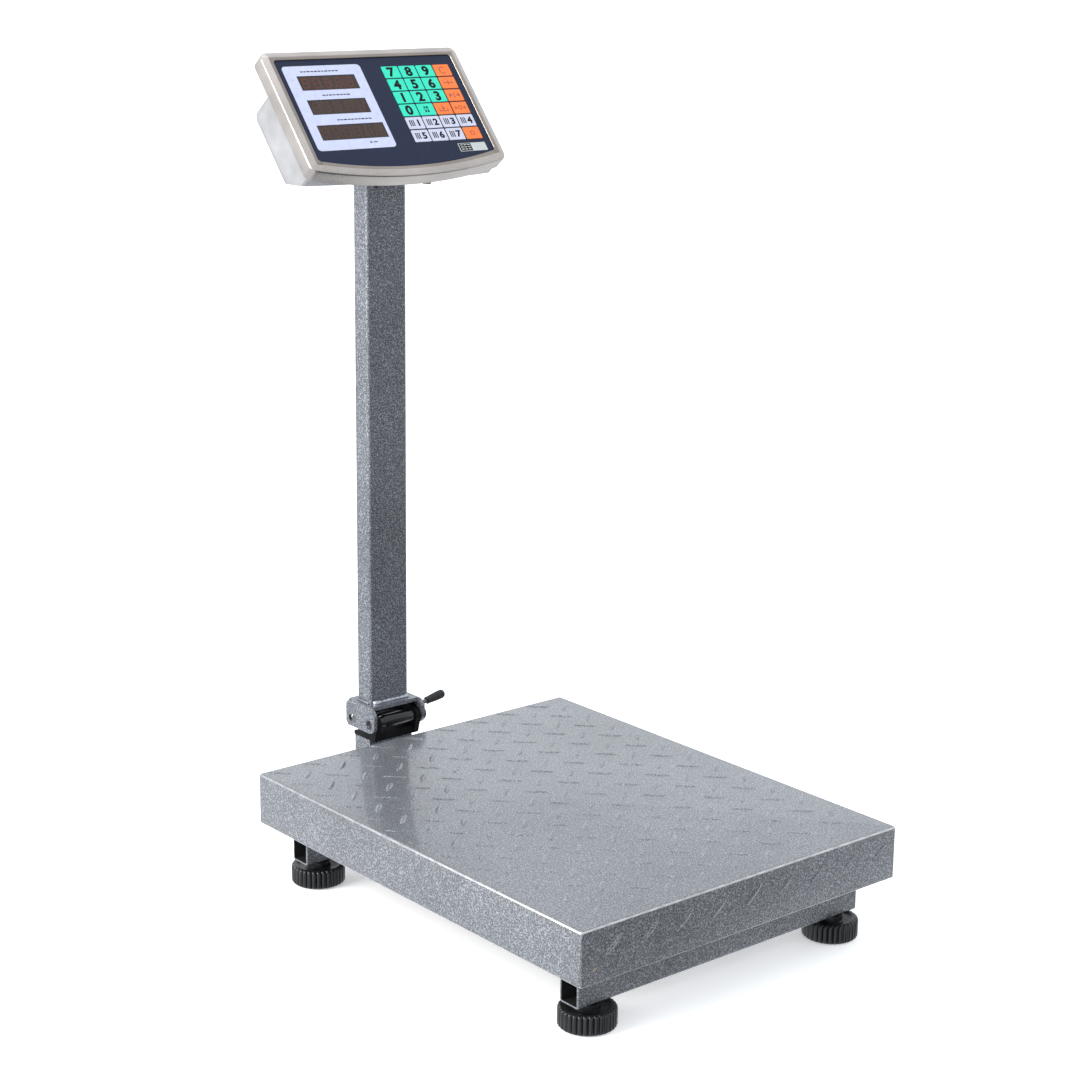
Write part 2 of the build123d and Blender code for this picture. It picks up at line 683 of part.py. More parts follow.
outer_block = rear_block(0)
inner_block = rear_block(SHELL_T)
HEAD_SCREWS_UP = Plane.XY.offset(HEAD_BOTTOM - 1)
GLAND_AT = (-70, -86)
SOCKET_AT = (70, -88)
GLAND_R = 8
SOCKET_R = 5
with BuildPart() as rear_shell:
    with BuildSketch(HEAD.offset(-BEZEL_D - FLANGE_T)):
        add(head_outline(2.5))
    extrude(amount=FLANGE_T)
    add(outer_block)
    add(inner_block, mode=Mode.SUBTRACT)
    with BuildSketch(HEAD.offset(-BEZEL_D - FLANGE_T)):
        with Locations((0, (SHELL_TOP - SHELL_T + HEAD_EDGE_SIDE) / 2)):
            Rectangle(SHELL_W - 2 * SHELL_T - 4, abs(HEAD_EDGE_SIDE - SHELL_TOP) - 16)
    extrude(amount=FLANGE_T, mode=Mode.SUBTRACT)
    with BuildSketch(HEAD.offset(-BEZEL_D - FLANGE_T)):
        with Locations(*CASE_POINTS):
            Circle(SCREW_R + RUN)
    extrude(amount=FLANGE_T, mode=Mode.SUBTRACT)
    with BuildSketch(HEAD_SCREWS_UP):
        with Locations(*SCREW_SPOTS):
            Circle(HEAD_SCREW_R + RUN)
    extrude(amount=SHELL_T + 2, mode=Mode.SUBTRACT)
    with BuildSketch(HEAD.offset(-SHELL_D)):
        with Locations(GLAND_AT):
            Circle(GLAND_R + RUN)
        with Locations(SOCKET_AT):
            Circle(SOCKET_R + RUN)
    extrude(amount=SHELL_T + 1, mode=Mode.SUBTRACT)
write("rear_shell", rear_shell.part)

PANEL_Z = -RECESS - PANEL_T
with BuildPart() as bezel:
    with BuildSketch(HEAD.offset(-BEZEL_D)):
        add(head_outline())
    extrude(amount=BEZEL_D + RIM_H)
    front = bezel.faces().sort_by(Axis(HEAD.origin, HEAD.z_dir))[-1]
    fillet(front.edges(), 4)
    with BuildSketch(HEAD.offset(-BEZEL_D)):
        add(head_outline(SHEET_T))
    extrude(amount=BEZEL_D + PANEL_Z, mode=Mode.SUBTRACT)
    with BuildSketch(HEAD.offset(-RECESS)):
        add(membrane_outline())
    extrude(amount=RECESS + RIM_H, mode=Mode.SUBTRACT)
    with BuildSketch(HEAD.offset(PANEL_Z)):
        for x0, x1, y0, y1 in WINDOWS:
            with Locations(((x0 + x1) / 2, (y0 + y1) / 2)):
                Rectangle(x1 - x0, y0 - y1)
    extrude(amount=PANEL_T, mode=Mode.SUBTRACT)
    with BuildSketch(HEAD.offset(PANEL_Z)):
        with Locations(*STUD_POINTS):
            Circle(3)
    extrude(amount=-LED_T)
    with BuildSketch(HEAD.offset(PANEL_Z)):
        with Locations(*CASE_POINTS):
            Circle(4)
    extrude(amount=-BEZEL_D - PANEL_Z)
    with BuildSketch(HEAD.offset(-BEZEL_D)):
        with Locations(*CASE_POINTS):
            Circle(SCREW_R + SLIP)
    extrude(amount=10, mode=Mode.SUBTRACT)
    with BuildSketch(HEAD.offset(PANEL_Z - LED_T)):
        with Locations(*STUD_POINTS):
            Circle(SCREW_R + SLIP)
    extrude(amount=LED_T - 0.5, mode=Mode.SUBTRACT)
write("bezel", bezel.part)

# ---------------------------------------------------------------- keypad and displays
KEYS = [
    (
        f"key_r{row + 1}_c{col + 1}",
        KEY_X0 + KEY_PITCH_X * col + KEY_PITCH_X / 2 - 0.4,
        KEY_Y0 - KEY_PITCH_Y * row - KEY_PITCH_Y / 2 + 0.4,
    )
    for row in range(KEY_ROWS)
    for col in range(KEY_COLS)
]
with BuildPart() as overlay:
    with BuildSketch(HEAD.offset(-RECESS)):
        add(membrane_outline(0.3))
        for x0, x1, y0, y1 in WINDOWS:
            with Locations(((x0 + x1) / 2, (y0 + y1) / 2)):
                Rectangle(x1 - x0, y0 - y1, mode=Mode.SUBTRACT)
        with Locations(*[(x, y) for _, x, y in KEYS]):
            Rectangle(KEY_W + 2 * KEY_GAP, KEY_H + 2 * KEY_GAP, mode=Mode.SUBTRACT)
    extrude(amount=RECESS)
write("overlay", overlay.part)

for name, x, y in KEYS:
    with BuildPart() as key:
        with BuildSketch(HEAD.offset(KEY_RISE - KEY_T)):
            with Locations((x, y)):
                RectangleRounded(KEY_W, KEY_H, 0.8)
        extrude(amount=KEY_T)
    write(name, key.part)

with BuildPart() as windows:
    with BuildSketch(HEAD.offset(-WINDOW_T - 0.2)):
        for x0, x1, y0, y1 in WINDOWS:
            with Locations(((x0 + x1) / 2, (y0 + y1) / 2)):
                Rectangle(x1 - x0 - 0.2, y0 - y1 - 0.2)
    extrude(amount=WINDOW_T)
write("display_windows", windows.part)

BOARD_Z = PANEL_Z - LED_T
with BuildPart() as leds:
    with BuildSketch(HEAD.offset(BOARD_Z)):
        for x0, x1, y0, y1 in WINDOWS:
            with Locations(((x0 + x1) / 2, (y0 + y1) / 2)):
                Rectangle(x1 - x0 + 2 * LED_MARGIN, y0 - y1 + 2 * LED_MARGIN)
    extrude(amount=LED_T - 0.3)
write("led_modules", leds.part)

with BuildPart() as board:
    with BuildSketch(HEAD.offset(BOARD_Z - BOARD_T)):
        with Locations((0, BOARD_TOP - BOARD_H / 2)):
            RectangleRounded(BOARD_W, BOARD_H, 2)
        with Locations(*STUD_POINTS):
            Circle(SCREW_R + RUN, mode=Mode.SUBTRACT)
    extrude(amount=BOARD_T)
write("main_board", board.part)

with BuildPart() as case_screws:
    with BuildSketch(HEAD.offset(BOARD_Z - BOARD_T)):
        with Locations(*STUD_POINTS):
            Circle(SCREW_R)
    extrude(amount=BOARD_T + 4)
    with BuildSketch(HEAD.offset(BOARD_Z - BOARD_T)):
        with Locations(*STUD_POINTS):
            Circle(SCREW_HEAD_R)
    extrude(amount=-SCREW_HEAD_H)
    with BuildSketch(HEAD.offset(-BEZEL_D - FLANGE_T)):
        with Locations(*CASE_POINTS):
            Circle(SCREW_R)
    extrude(amount=FLANGE_T + 8)
    with BuildSketch(HEAD.offset(-BEZEL_D - FLANGE_T)):
        with Locations(*CASE_POINTS):
            Circle(SCREW_HEAD_R)
    extrude(amount=-SCREW_HEAD_H)
write("case_screws", case_screws.part)

BATTERY_W = 100
BATTERY_H = 45
BATTERY_T = 38
with BuildPart() as battery:
    with BuildSketch(HEAD.offset(-SHELL_D + SHELL_T)):
        with Locations((54, -60)):
            RectangleRounded(BATTERY_W, BATTERY_H, 2)
    extrude(amount=BATTERY_T)
write("battery", battery.part)

with BuildPart() as gland:
    with BuildSketch(HEAD.offset(-SHELL_D + SHELL_T + 4)):
        with Locations(GLAND_AT):
            Circle(GLAND_R)
            Circle(3.5, mode=Mode.SUBTRACT)
    extrude(amount=-SHELL_T - 4)
    with BuildSketch(HEAD.offset(-SHELL_D)):
        with Locations(GLAND_AT):
            RegularPolygon(10, 6, major_radius=False)
            Circle(3.5, mode=Mode.SUBTRACT)
    extrude(amount=-5)
    with BuildSketch(HEAD.offset(-SHELL_D - 5)):
        with Locations(GLAND_AT):
            Circle(8.5)
            Circle(3.5, mode=Mode.SUBTRACT)
    extrude(amount=-8)
write("cable_gland", gland.part)

with BuildPart() as socket:
    with BuildSketch(HEAD.offset(-SHELL_D + SHELL_T + 6)):
        with Locations(SOCKET_AT):
            Circle(SOCKET_R)
    extrude(amount=-SHELL_T - 6)
    with BuildSketch(HEAD.offset(-SHELL_D)):
        with Locations(SOCKET_AT):
            Circle(7)
    extrude(amount=-2)
    with BuildSketch(HEAD.offset(-SHELL_D - 2)):
        with Locations(SOCKET_AT):
            Circle(3)
    extrude(amount=9, mode=Mode.SUBTRACT)
write("charge_socket", socket.part)
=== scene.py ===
import json
import math

import bmesh
import bpy
from mathutils import Matrix, Vector
from mathutils.geometry import tessellate_polygon


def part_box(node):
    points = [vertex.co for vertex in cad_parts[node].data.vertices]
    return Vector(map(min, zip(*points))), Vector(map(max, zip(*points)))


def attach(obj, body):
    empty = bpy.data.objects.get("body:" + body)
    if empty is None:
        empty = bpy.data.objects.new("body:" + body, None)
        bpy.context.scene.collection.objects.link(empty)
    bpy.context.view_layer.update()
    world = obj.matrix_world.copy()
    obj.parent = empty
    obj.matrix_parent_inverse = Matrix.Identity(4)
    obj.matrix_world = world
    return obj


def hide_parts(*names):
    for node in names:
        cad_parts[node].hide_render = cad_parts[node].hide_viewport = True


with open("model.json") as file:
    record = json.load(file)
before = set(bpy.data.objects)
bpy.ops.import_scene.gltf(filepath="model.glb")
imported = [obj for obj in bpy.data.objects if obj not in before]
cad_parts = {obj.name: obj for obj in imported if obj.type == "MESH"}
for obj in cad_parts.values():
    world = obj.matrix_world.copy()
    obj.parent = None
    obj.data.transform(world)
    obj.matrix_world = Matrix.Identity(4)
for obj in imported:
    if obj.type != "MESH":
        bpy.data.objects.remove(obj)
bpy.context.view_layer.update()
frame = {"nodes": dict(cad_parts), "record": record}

MM = 0.001
NODES = frame["nodes"]

# Places read from the frame, in metres
COVER_LOW, COVER_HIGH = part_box("platform_cover")
COLUMN_LOW, COLUMN_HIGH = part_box("column_tube")
OVERLAY_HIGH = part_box("overlay")[1]
GRIP_LOW, GRIP_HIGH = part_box("lock_grip")
PIN_LOW, PIN_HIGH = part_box("hinge_pin")
SLEEVE_LOW, SLEEVE_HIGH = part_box("hinge_sleeve")
ROD_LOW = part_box("lock_rod")[0]
TOP_Z = 0.1145  # the plate between its tread bars
PLATFORM_Y = (COVER_LOW.y + COVER_HIGH.y) / 2

# The sloping face of the indicator: local x right, y up the face, z out of it, in millimetres
SLOPE = math.radians(50)
FILM_INSET = 0.3 * MM
FILM_THICKNESS = 1.2 * MM
FACE_UP = Vector((0, math.cos(SLOPE), math.sin(SLOPE)))
FACE_OUT = Vector((0, -math.sin(SLOPE), math.cos(SLOPE)))
FACE_AT = Vector((
    0,
    OVERLAY_HIGH.y + FILM_INSET * math.cos(SLOPE) - FILM_THICKNESS * math.sin(SLOPE),
    OVERLAY_HIGH.z + FILM_INSET * math.sin(SLOPE),
))

# Left, right, top and bottom of each display window on that face, and its digits
WINDOWS = (
    (-90.7, -20.7, -19.3, -36.8, 5),
    (-91.4, -20.8, -48.3, -66.0, 5),
    (-93.6, -13.4, -78.6, -96.6, 6),
)


def rgb(red, green, blue):
    """A colour given as 0-255 display values, in linear light."""
    made = []
    for value in (red, green, blue):
        value = value / 255
        made.append(value / 12.92 if value < 0.04045 else ((value + 0.055) / 1.055) ** 2.4)
    return (*made, 1)


def face_point(x, y, z=0.0):
    """A point of the indicator's face, from millimetres."""
    return FACE_AT + Vector((x * MM, 0, 0)) + FACE_UP * (y * MM) + FACE_OUT * (z * MM)


# ---------------------------------------------------------------- material nodes
class Shader:
    """One Principled material and the few node calls used to build it."""

    def __init__(self, name, **sockets):
        self.material = bpy.data.materials.new(name)
        self.material.use_nodes = True
        self.nodes = self.material.node_tree.nodes
        self.links = self.material.node_tree.links
        self.bsdf = self.nodes["Principled BSDF"]
        self.coords = self.nodes.new("ShaderNodeTexCoord").outputs["Object"]
        for socket, value in sockets.items():
            self.bsdf.inputs[socket.replace("_", " ")].default_value = value

    def stretch(self, scale):
        node = self.nodes.new("ShaderNodeMapping")
        node.inputs["Scale"].default_value = scale
        self.links.new(self.coords, node.inputs["Vector"])
        return node.outputs["Vector"]

    def noise(self, scale, detail=2.0, rough=0.5, vector=None):
        node = self.nodes.new("ShaderNodeTexNoise")
        node.inputs["Scale"].default_value = scale
        node.inputs["Detail"].default_value = detail
        node.inputs["Roughness"].default_value = rough
        self.links.new(vector or self.coords, node.inputs["Vector"])
        return node.outputs["Fac"]

    def cells(self, scale, feature="SMOOTH_F1"):
        node = self.nodes.new("ShaderNodeTexVoronoi")
        node.feature = feature
        node.inputs["Scale"].default_value = scale
        self.links.new(self.coords, node.inputs["Vector"])
        return node.outputs["Distance"]

    def ramp(self, factor, stops):
        node = self.nodes.new("ShaderNodeValToRGB")
        elements = node.color_ramp.elements
        while len(elements) < len(stops):
            elements.new(0.5)
        for element, (place, colour) in zip(elements, stops):
            element.position = place
            element.color = colour
        self.links.new(factor, node.inputs["Fac"])
        return node.outputs["Color"]

    def blend(self, factor, first, second, mode="MIX"):
        """Mixes two colours, where any of the three inputs may be a socket or a value."""
        node = self.nodes.new("ShaderNodeMix")
        node.data_type = "RGBA"
        node.blend_type = mode
        for value, socket in ((factor, 0), (first, 6), (second, 7)):
            if isinstance(value, bpy.types.NodeSocket):
                self.links.new(value, node.inputs[socket])
            else:
                node.inputs[socket].default_value = value
        return node.outputs[2]

    def scaled(self, factor, low, high):
        """Spreads a 0 to 1 factor over another range."""
        node = self.nodes.new("ShaderNodeMapRange")
        node.inputs["To Min"].default_value = low
        node.inputs["To Max"].default_value = high
        self.links.new(factor, node.inputs["Value"])
        return node.outputs["Result"]

    def bump(self, height, strength, distance, under=None):
        """A bump normal, laid over another one when it is given."""
        node = self.nodes.new("ShaderNodeBump")
        node.inputs["Strength"].default_value = strength
        node.inputs["Distance"].default_value = distance
        self.links.new(height, node.inputs["Height"])
        if under is not None:
            self.links.new(under, node.inputs["Normal"])
        return node.outputs["Normal"]

    def set(self, socket, value):
        self.links.new(value, self.bsdf.inputs[socket])


def darker(colour, share):
    return tuple(c * share for c in colour[:3]) + (1,)


def dusty(colour, gain, lift):
    """The same colour under a little dust: brighter, and never quite black."""
    return tuple(min(1, c * gain + lift) for c in colour[:3]) + (1,)


def grey(level):
    return rgb(level, level, level)


def hammertone(name, dark, mid, light, gloss):
    """Hammer-finish enamel: small cells with dark valleys, silvery crests and a clear gloss."""
    made = Shader(name, Metallic=0.65, Coat_Weight=gloss, Coat_Roughness=0.10)
    cells = made.cells(720, feature="F1")
    grain = made.noise(900, 3, 0.7)
    mixed = made.blend(0.6, cells, grain)
    colour = made.ramp(mixed, ((0.30, dark), (0.48, mid), (0.66, light)))
    cloud = made.noise(7, 2, 0.5)
    tint = made.ramp(cloud, ((0.35, grey(238)), (0.65, grey(255))))
    made.set("Base Color", made.blend(1.0, colour, tint, "MULTIPLY"))
    made.set("Roughness", made.scaled(made.noise(40, 2), 0.34, 0.46))
    swell = made.noise(170, 2, 0.5)
    made.set("Normal", made.bump(swell, 0.10, 0.001, made.bump(mixed, 0.22, 0.0004)))
    return made.material


def enamel(name, colour, rough, gloss):
    """Smooth dark paint with orange peel and dusty worn patches."""
    made = Shader(name, Coat_Weight=gloss, Coat_Roughness=0.1, Specular_IOR_Level=0.3)
    patches = made.noise(38, 4, 0.6)
    lightened = dusty(colour, 2.2, 0.006)
    made.set("Base Color", made.ramp(patches, ((0.4, colour), (0.72, lightened))))
    made.set("Roughness", made.scaled(made.noise(90, 2), rough - 0.08, rough + 0.12))
    made.set("Normal", made.bump(made.noise(420, 2), 0.18, 0.0003))
    return made.material


def brushed(name, colour, rough, along):
    """Brushed sheet metal: long fine scratches and broad smudges."""
    made = Shader(name, Metallic=1.0, Anisotropic=0.35)
    scale = [2400.0, 2400.0, 2400.0]
    scale["XYZ".index(along)] = 26.0
    lines = made.noise(1.0, 3, 0.6, made.stretch(scale))
    smudge = made.noise(24, 3, 0.55)
    tone = made.ramp(lines, ((0.32, darker(colour, 0.80)), (0.66, colour)))
    veil = made.ramp(smudge, ((0.38, grey(238)), (0.66, grey(255))))
    made.set("Base Color", made.blend(1.0, tone, veil, "MULTIPLY"))
    made.set("Roughness", made.scaled(smudge, rough - 0.06, rough + 0.1))
    made.set("Normal", made.bump(lines, 0.12, 0.0001))
    return made.material


def plated(name, colour, rough):
    """Zinc plate or turned steel: cloudy crystals and fine grain."""
    made = Shader(name, Metallic=1.0)
    clouds = made.cells(120)
    made.set("Base Color", made.ramp(clouds, ((0.15, darker(colour, 0.7)), (0.7, colour))))
    made.set("Roughness", made.scaled(made.noise(240, 3), rough - 0.07, rough + 0.12))
    made.set("Normal", made.bump(made.noise(900, 2), 0.12, 0.0002))
    return made.material


def moulded(name, colour, rough, grain=900.0, strength=0.25, shine=0.45):
    """Moulded plastic or rubber: fine sparked grain, slightly dusty high spots."""
    made = Shader(name, Specular_IOR_Level=shine)
    dust = made.noise(55, 4, 0.6)
    pale = dusty(colour, 1.7, 0.004)
    made.set("Base Color", made.ramp(dust, ((0.38, colour), (0.75, pale))))
    made.set("Roughness", made.scaled(made.noise(130, 2), rough - 0.06, rough + 0.12))
    made.set("Normal", made.bump(made.noise(grain, 2), strength, 0.0002))
    return made.material


def printed(name, colour, rough=0.34, coat=0.25, shine=0.4):
    """Printed polyester film: an even ink with a fine texture and faint mottling."""
    made = Shader(name, Coat_Weight=coat, Coat_Roughness=0.22, Specular_IOR_Level=shine)
    mottle = made.noise(160, 3, 0.6)
    made.set("Base Color", made.ramp(mottle, ((0.3, darker(colour, 0.88)), (0.7, colour))))
    made.set("Roughness", made.scaled(made.noise(75, 2), rough - 0.05, rough + 0.08))
    made.set("Normal", made.bump(made.noise(1500, 2), 0.08, 0.0001))
    return made.material


def smoked(name):
    """Smoked display filter: dark brown acrylic with faint vertical texture of the modules."""
    made = Shader(name, Coat_Weight=0.1, Coat_Roughness=0.08, Specular_IOR_Level=0.25)
    streaks = made.noise(1.0, 2, 0.5, made.stretch((900, 60, 60)))
    tone = made.ramp(streaks, ((0.35, rgb(40, 31, 27)), (0.7, rgb(66, 52, 45))))
    made.set("Base Color", tone)
    made.set("Roughness", made.scaled(made.noise(60, 2), 0.22, 0.34))
    return made.material


def circuit(name):
    """Green solder-masked board with paler copper runs."""
    made = Shader(name, Coat_Weight=0.4)
    runs = made.cells(160, feature="DISTANCE_TO_EDGE")
    made.set("Base Color", made.ramp(runs, ((0.03, rgb(70, 130, 84)), (0.06, rgb(20, 74, 44)))))
    made.set("Roughness", made.scaled(made.noise(200, 2), 0.3, 0.5))
    return made.material


def wrapped(name):
    """Battery wrap: matt black sleeve with slow colour drift."""
    made = Shader(name)
    drift = made.noise(30, 3)
    made.set("Base Color", made.ramp(drift, ((0.35, rgb(24, 26, 30)), (0.7, rgb(46, 48, 54)))))
    made.set("Roughness", made.scaled(made.noise(80, 2), 0.4, 0.6))
    return made.material


# Paints
HAMMER = hammertone("hammertone", rgb(64, 66, 70), rgb(108, 111, 116), rgb(166, 169, 174), 0.65)
COLUMN_PAINT = hammertone(
    "column_paint", rgb(54, 56, 60), rgb(98, 101, 107), rgb(160, 163, 169), 0.45
)
# Brighter, smoother paint for the cover's hem and top bend: a painted highlight along its rounded
# edges
EDGE_HIGHLIGHT = plated("edge_painted_highlight", rgb(206, 204, 204), 0.26)
WELD = plated("weld_paint", rgb(176, 180, 188), 0.2)
DARK_STEEL = plated("dark_steel", rgb(96, 96, 98), 0.34)
BARE = plated("bare_chip", rgb(226, 208, 190), 0.4)
# Near-black for the inside of the open base tubes: painted shade inside them
TUBE_SHADE = moulded("tube_painted_shade", rgb(12, 12, 13), 0.7)
FRAME_PAINT = hammertone(
    "frame_paint", rgb(66, 70, 77), rgb(104, 109, 118), rgb(150, 154, 162), 0.3
)
BLACK = enamel("black_enamel", rgb(11, 12, 14), 0.3, 0.25)
CAST = moulded("cast_black", rgb(9, 9, 10), 0.55, 900.0, 0.25, 0.12)
GLOSS_BLACK = enamel("gloss_black", rgb(8, 9, 11), 0.22, 0.45)
ROD_STEEL = plated("rod_steel", rgb(122, 122, 120), 0.34)
STEEL = plated("zinc_steel", rgb(168, 168, 165), 0.3)
STAINLESS = brushed("brushed_stainless", rgb(196, 189, 183), 0.27, "X")
# A darker, rougher copy of the stainless for the bezel's inner band: the darker colour is painted
# shade
STAINLESS_SHADED = brushed("stainless_painted_shade", rgb(160, 150, 142), 0.36, "X")
SHELL = brushed("shell_stainless", rgb(198, 197, 198), 0.36, "X")
ALUMINIUM = brushed("milled_aluminium", rgb(214, 216, 220), 0.3, "Y")
PLASTIC = moulded("black_plastic", rgb(26, 26, 28), 0.46)
KNOB_PLASTIC = moulded("knob_plastic", rgb(17, 18, 20), 0.3)
RUBBER = moulded("black_rubber", rgb(30, 31, 32), 0.58, 700.0, 0.35)
NAVY = printed("navy_film", rgb(30, 37, 60), 0.45, 0.0, 0.18)
LAVENDER = printed("lavender_film", rgb(192, 198, 228))
TEAL = printed("teal_key", rgb(22, 214, 178))
ORANGE = printed("orange_key", rgb(236, 116, 38))
PALE_KEY = printed("lavender_key", rgb(194, 197, 216))
INK = printed("black_ink", rgb(10, 10, 14), 0.45, 0.0, 0.15)
RED_INK = printed("red_ink", rgb(170, 62, 44))
PALE_INK = printed("pale_ink", rgb(186, 190, 190))
SEGMENT = printed("segment_red", rgb(80, 54, 46), 0.4, 0.0, 0.2)
# A brighter red for the first window's digits: a painted glow of lit segments
SEGMENT_GLOW = printed("segment_painted_glow", rgb(100, 54, 45), 0.4, 0.0, 0.2)
SMOKED = smoked("smoked_filter")
BOARD = circuit("circuit_board")
BATTERY = wrapped("battery_wrap")

FINISHES = {
    "black_enamel": BLACK,
    "hammertone": HAMMER,
    "frame_paint": FRAME_PAINT,
    "steel": STEEL,
    "stainless": STAINLESS,
    "aluminium": ALUMINIUM,
    "black_plastic": PLASTIC,
    "rubber": RUBBER,
    "overlay": NAVY,
    "key_teal": TEAL,
    "key_orange": ORANGE,
    "key_lavender": PALE_KEY,
    "window": SMOKED,
    "led": PLASTIC,
    "pcb": BOARD,
    "battery": BATTERY,
}

# Nodes whose finish differs from the rest of their slot
SPECIAL = {
    "rear_shell": SHELL,
    "column_tube": COLUMN_PAINT,
    "hinge_bracket": COLUMN_PAINT,
    "post_tube": COLUMN_PAINT,
    "base_spine": FRAME_PAINT,
    "head_plate_screws": DARK_STEEL,
    "hinge_casting": CAST,
    "lock_rod": ROD_STEEL,
    "lock_hook": STEEL,
}


def finish_cad_nodes():
    """Every carried CAD node takes the procedural finish of its slot in the record."""
    for entry in frame["record"]["subparts"]:
        NODES[entry["node"]].material_slots[0].material = FINISHES[entry["material_slot"]]
    for name, material in SPECIAL.items():
        NODES[name].material_slots[0].material = material


# ---------------------------------------------------------------- mesh helpers
def piece(name, shape, material, body, crease=32, second=None, second_faces=()):
    """Turns (points, faces) into an object that rides on a body."""
    points, faces = shape
    mesh = bpy.data.meshes.new(name)
    mesh.from_pydata([tuple(p) for p in points], [], faces)
    tidy = bmesh.new()
    tidy.from_mesh(mesh)
    bmesh.ops.recalc_face_normals(tidy, faces=tidy.faces)
    tidy.to_mesh(mesh)
    tidy.free()
    mesh.polygons.foreach_set("use_smooth", [True] * len(mesh.polygons))
    mesh.set_sharp_from_angle(angle=math.radians(crease))
    mesh.materials.append(material)
    if second is not None:
        mesh.materials.append(second)
        for index in second_faces:
            mesh.polygons[index].material_index = 1
    made = bpy.data.objects.new(name, mesh)
    bpy.context.scene.collection.objects.link(made)
    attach(made, body)
    return made


def merged(shapes):
    """Several (points, faces) shapes as one."""
    points, faces = [], []
    for more_points, more_faces in shapes:
        start = len(points)
        points.extend(more_points)
        faces.extend([tuple(i + start for i in face) for face in more_faces])
    return points, faces


def loft(loops, cap_first=True, cap_last=True):
    """Quads between successive loops of equal length, closed at the ends."""
    count = len(loops[0])
    points = [p for loop in loops for p in loop]
    faces = []
    for row in range(len(loops) - 1):
        for i in range(count):
            j = (i + 1) % count
            a, b = row * count, (row + 1) * count
            faces.append((a + i, a + j, b + j, b + i))
    if cap_first:
        faces.append(tuple(reversed(range(count))))
    if cap_last:
        faces.append(tuple(range(len(points) - count, len(points))))
    return points, faces


def arc(centre_x, centre_y, radius, start, end, steps):
    """Points along an arc, with its ends in degrees."""
    made = []
    for i in range(steps + 1):
        angle = math.radians(start + (end - start) * i / steps)
        made.append((centre_x + radius * math.cos(angle), centre_y + radius * math.sin(angle)))
    return made


def rounded_rectangle(half_x, half_y, radius, steps=5):
    """A rectangle's outline about the origin, anticlockwise, with round corners."""
    x, y = half_x - radius, half_y - radius
    return (
        arc(x, y, radius, 0, 90, steps)
        + arc(-x, y, radius, 90, 180, steps)
        + arc(-x, -y, radius, 180, 270, steps)
        + arc(x, -y, radius, 270, 360, steps)
    )


def plate(outline, holes, low, high, place):
    """A flat sheet with holes, between two heights, placed by a function of x, y, z."""
    rings = [outline, *holes]
    flat = [Vector((x, y, 0)) for ring in rings for x, y in ring]
    triangles = tessellate_polygon([[Vector((x, y, 0)) for x, y in ring] for ring in rings])
    count = len(flat)
    points = [place(p.x, p.y, high) for p in flat] + [place(p.x, p.y, low) for p in flat]
    faces = [tuple(t) for t in triangles]
    faces += [tuple(i + count for i in reversed(t)) for t in triangles]
    start = 0
    for ring in rings:
        for i in range(len(ring)):
            j = (i + 1) % len(ring)
            faces.append((start + i, start + j, start + j + count, start + i + count))
        start += len(ring)
    return points, faces


def lens_bar(centre, along, across, out, length, width, height, sink=0.05):
    """A pressed tread bar: a lens outline whose crown dies away to nothing at its rim."""
    rows, columns = 12, 8
    points = []
    for i in range(rows + 1):
        u = -1 + 2 * i / rows
        half = width / 2 * (1 - u * u) ** 0.75 + 0.02
        for j in range(columns + 1):
            v = -1 + 2 * j / columns
            lift = height * (1 - v * v) ** 1.6 * (1 - u ** 4) - sink
            offset = along * (u * length / 2) + across * (v * half) + out * lift
            points.append(centre + offset * MM)
    faces = []
    step = columns + 1
    for i in range(rows):
        for j in range(columns):
            a = i * step + j
            faces.append((a, a + 1, a + step + 1, a + step))
    rim = list(range(step))
    rim += [i * step + columns for i in range(1, rows + 1)]
    rim += [rows * step + j for j in range(columns - 1, -1, -1)]
    rim += [i * step for i in range(rows - 1, 0, -1)]
    faces.append(tuple(rim))
    return points, faces


def turned(base, axis, profile, segments=40):
    """A turned part: (distance along the axis, radius) pairs in millimetres."""
    axis = axis.normalized()
    side = axis.orthogonal().normalized()
    other = axis.cross(side)
    loops = []
    for distance, radius in profile:
        loop = []
        for i in range(segments):
            angle = 2 * math.pi * i / segments
            spoke = side * math.cos(angle) + other * math.sin(angle)
            loop.append(base + axis * (distance * MM) + spoke * (radius * MM))
        loops.append(loop)
    return loft(loops)


LUMP_AT = 5.0
LUMP_SPREAD = 3.5
LUMP_SIZE = 0.55


def bead(path, radius, ripple, pitch):
    """A weld bead along a path: overlapping blobs of uneven size, with a lump at its start."""
    loops = []
    travelled = 0.0
    sides = 10
    for i, here in enumerate(path):
        after = path[min(i + 1, len(path) - 1)]
        before = path[max(i - 1, 0)]
        travelled += (here - before).length
        tangent = (after - before).normalized()
        side = tangent.cross(Vector((0, 0, 1))).normalized()
        up = side.cross(tangent)
        phase = travelled / (pitch * MM)
        uneven = 0.14 * math.sin(phase * 1.7 + 1) + 0.1 * math.sin(phase * 0.6)
        lump = LUMP_SIZE * math.exp(-((travelled / MM - LUMP_AT) / LUMP_SPREAD) ** 2)
        swell = 1 + ripple * abs(math.sin(phase * math.pi)) + uneven + lump
        if i in (0, len(path) - 1):
            swell = 0.3
        loop = []
        for k in range(sides):
            angle = 2 * math.pi * k / sides
            spoke = side * math.cos(angle) + up * (0.8 * math.sin(angle))
            loop.append(here + spoke * (radius * swell * MM))
        loops.append(loop)
    return loft(loops)


def sampled(corners, step):
    """Points along a polyline, a step in metres apart."""
    made = [corners[0]]
    for start, end in zip(corners, corners[1:]):
        count = max(1, round((end - start).length / step))
        made += [start.lerp(end, i / count) for i in range(1, count + 1)]
    return made


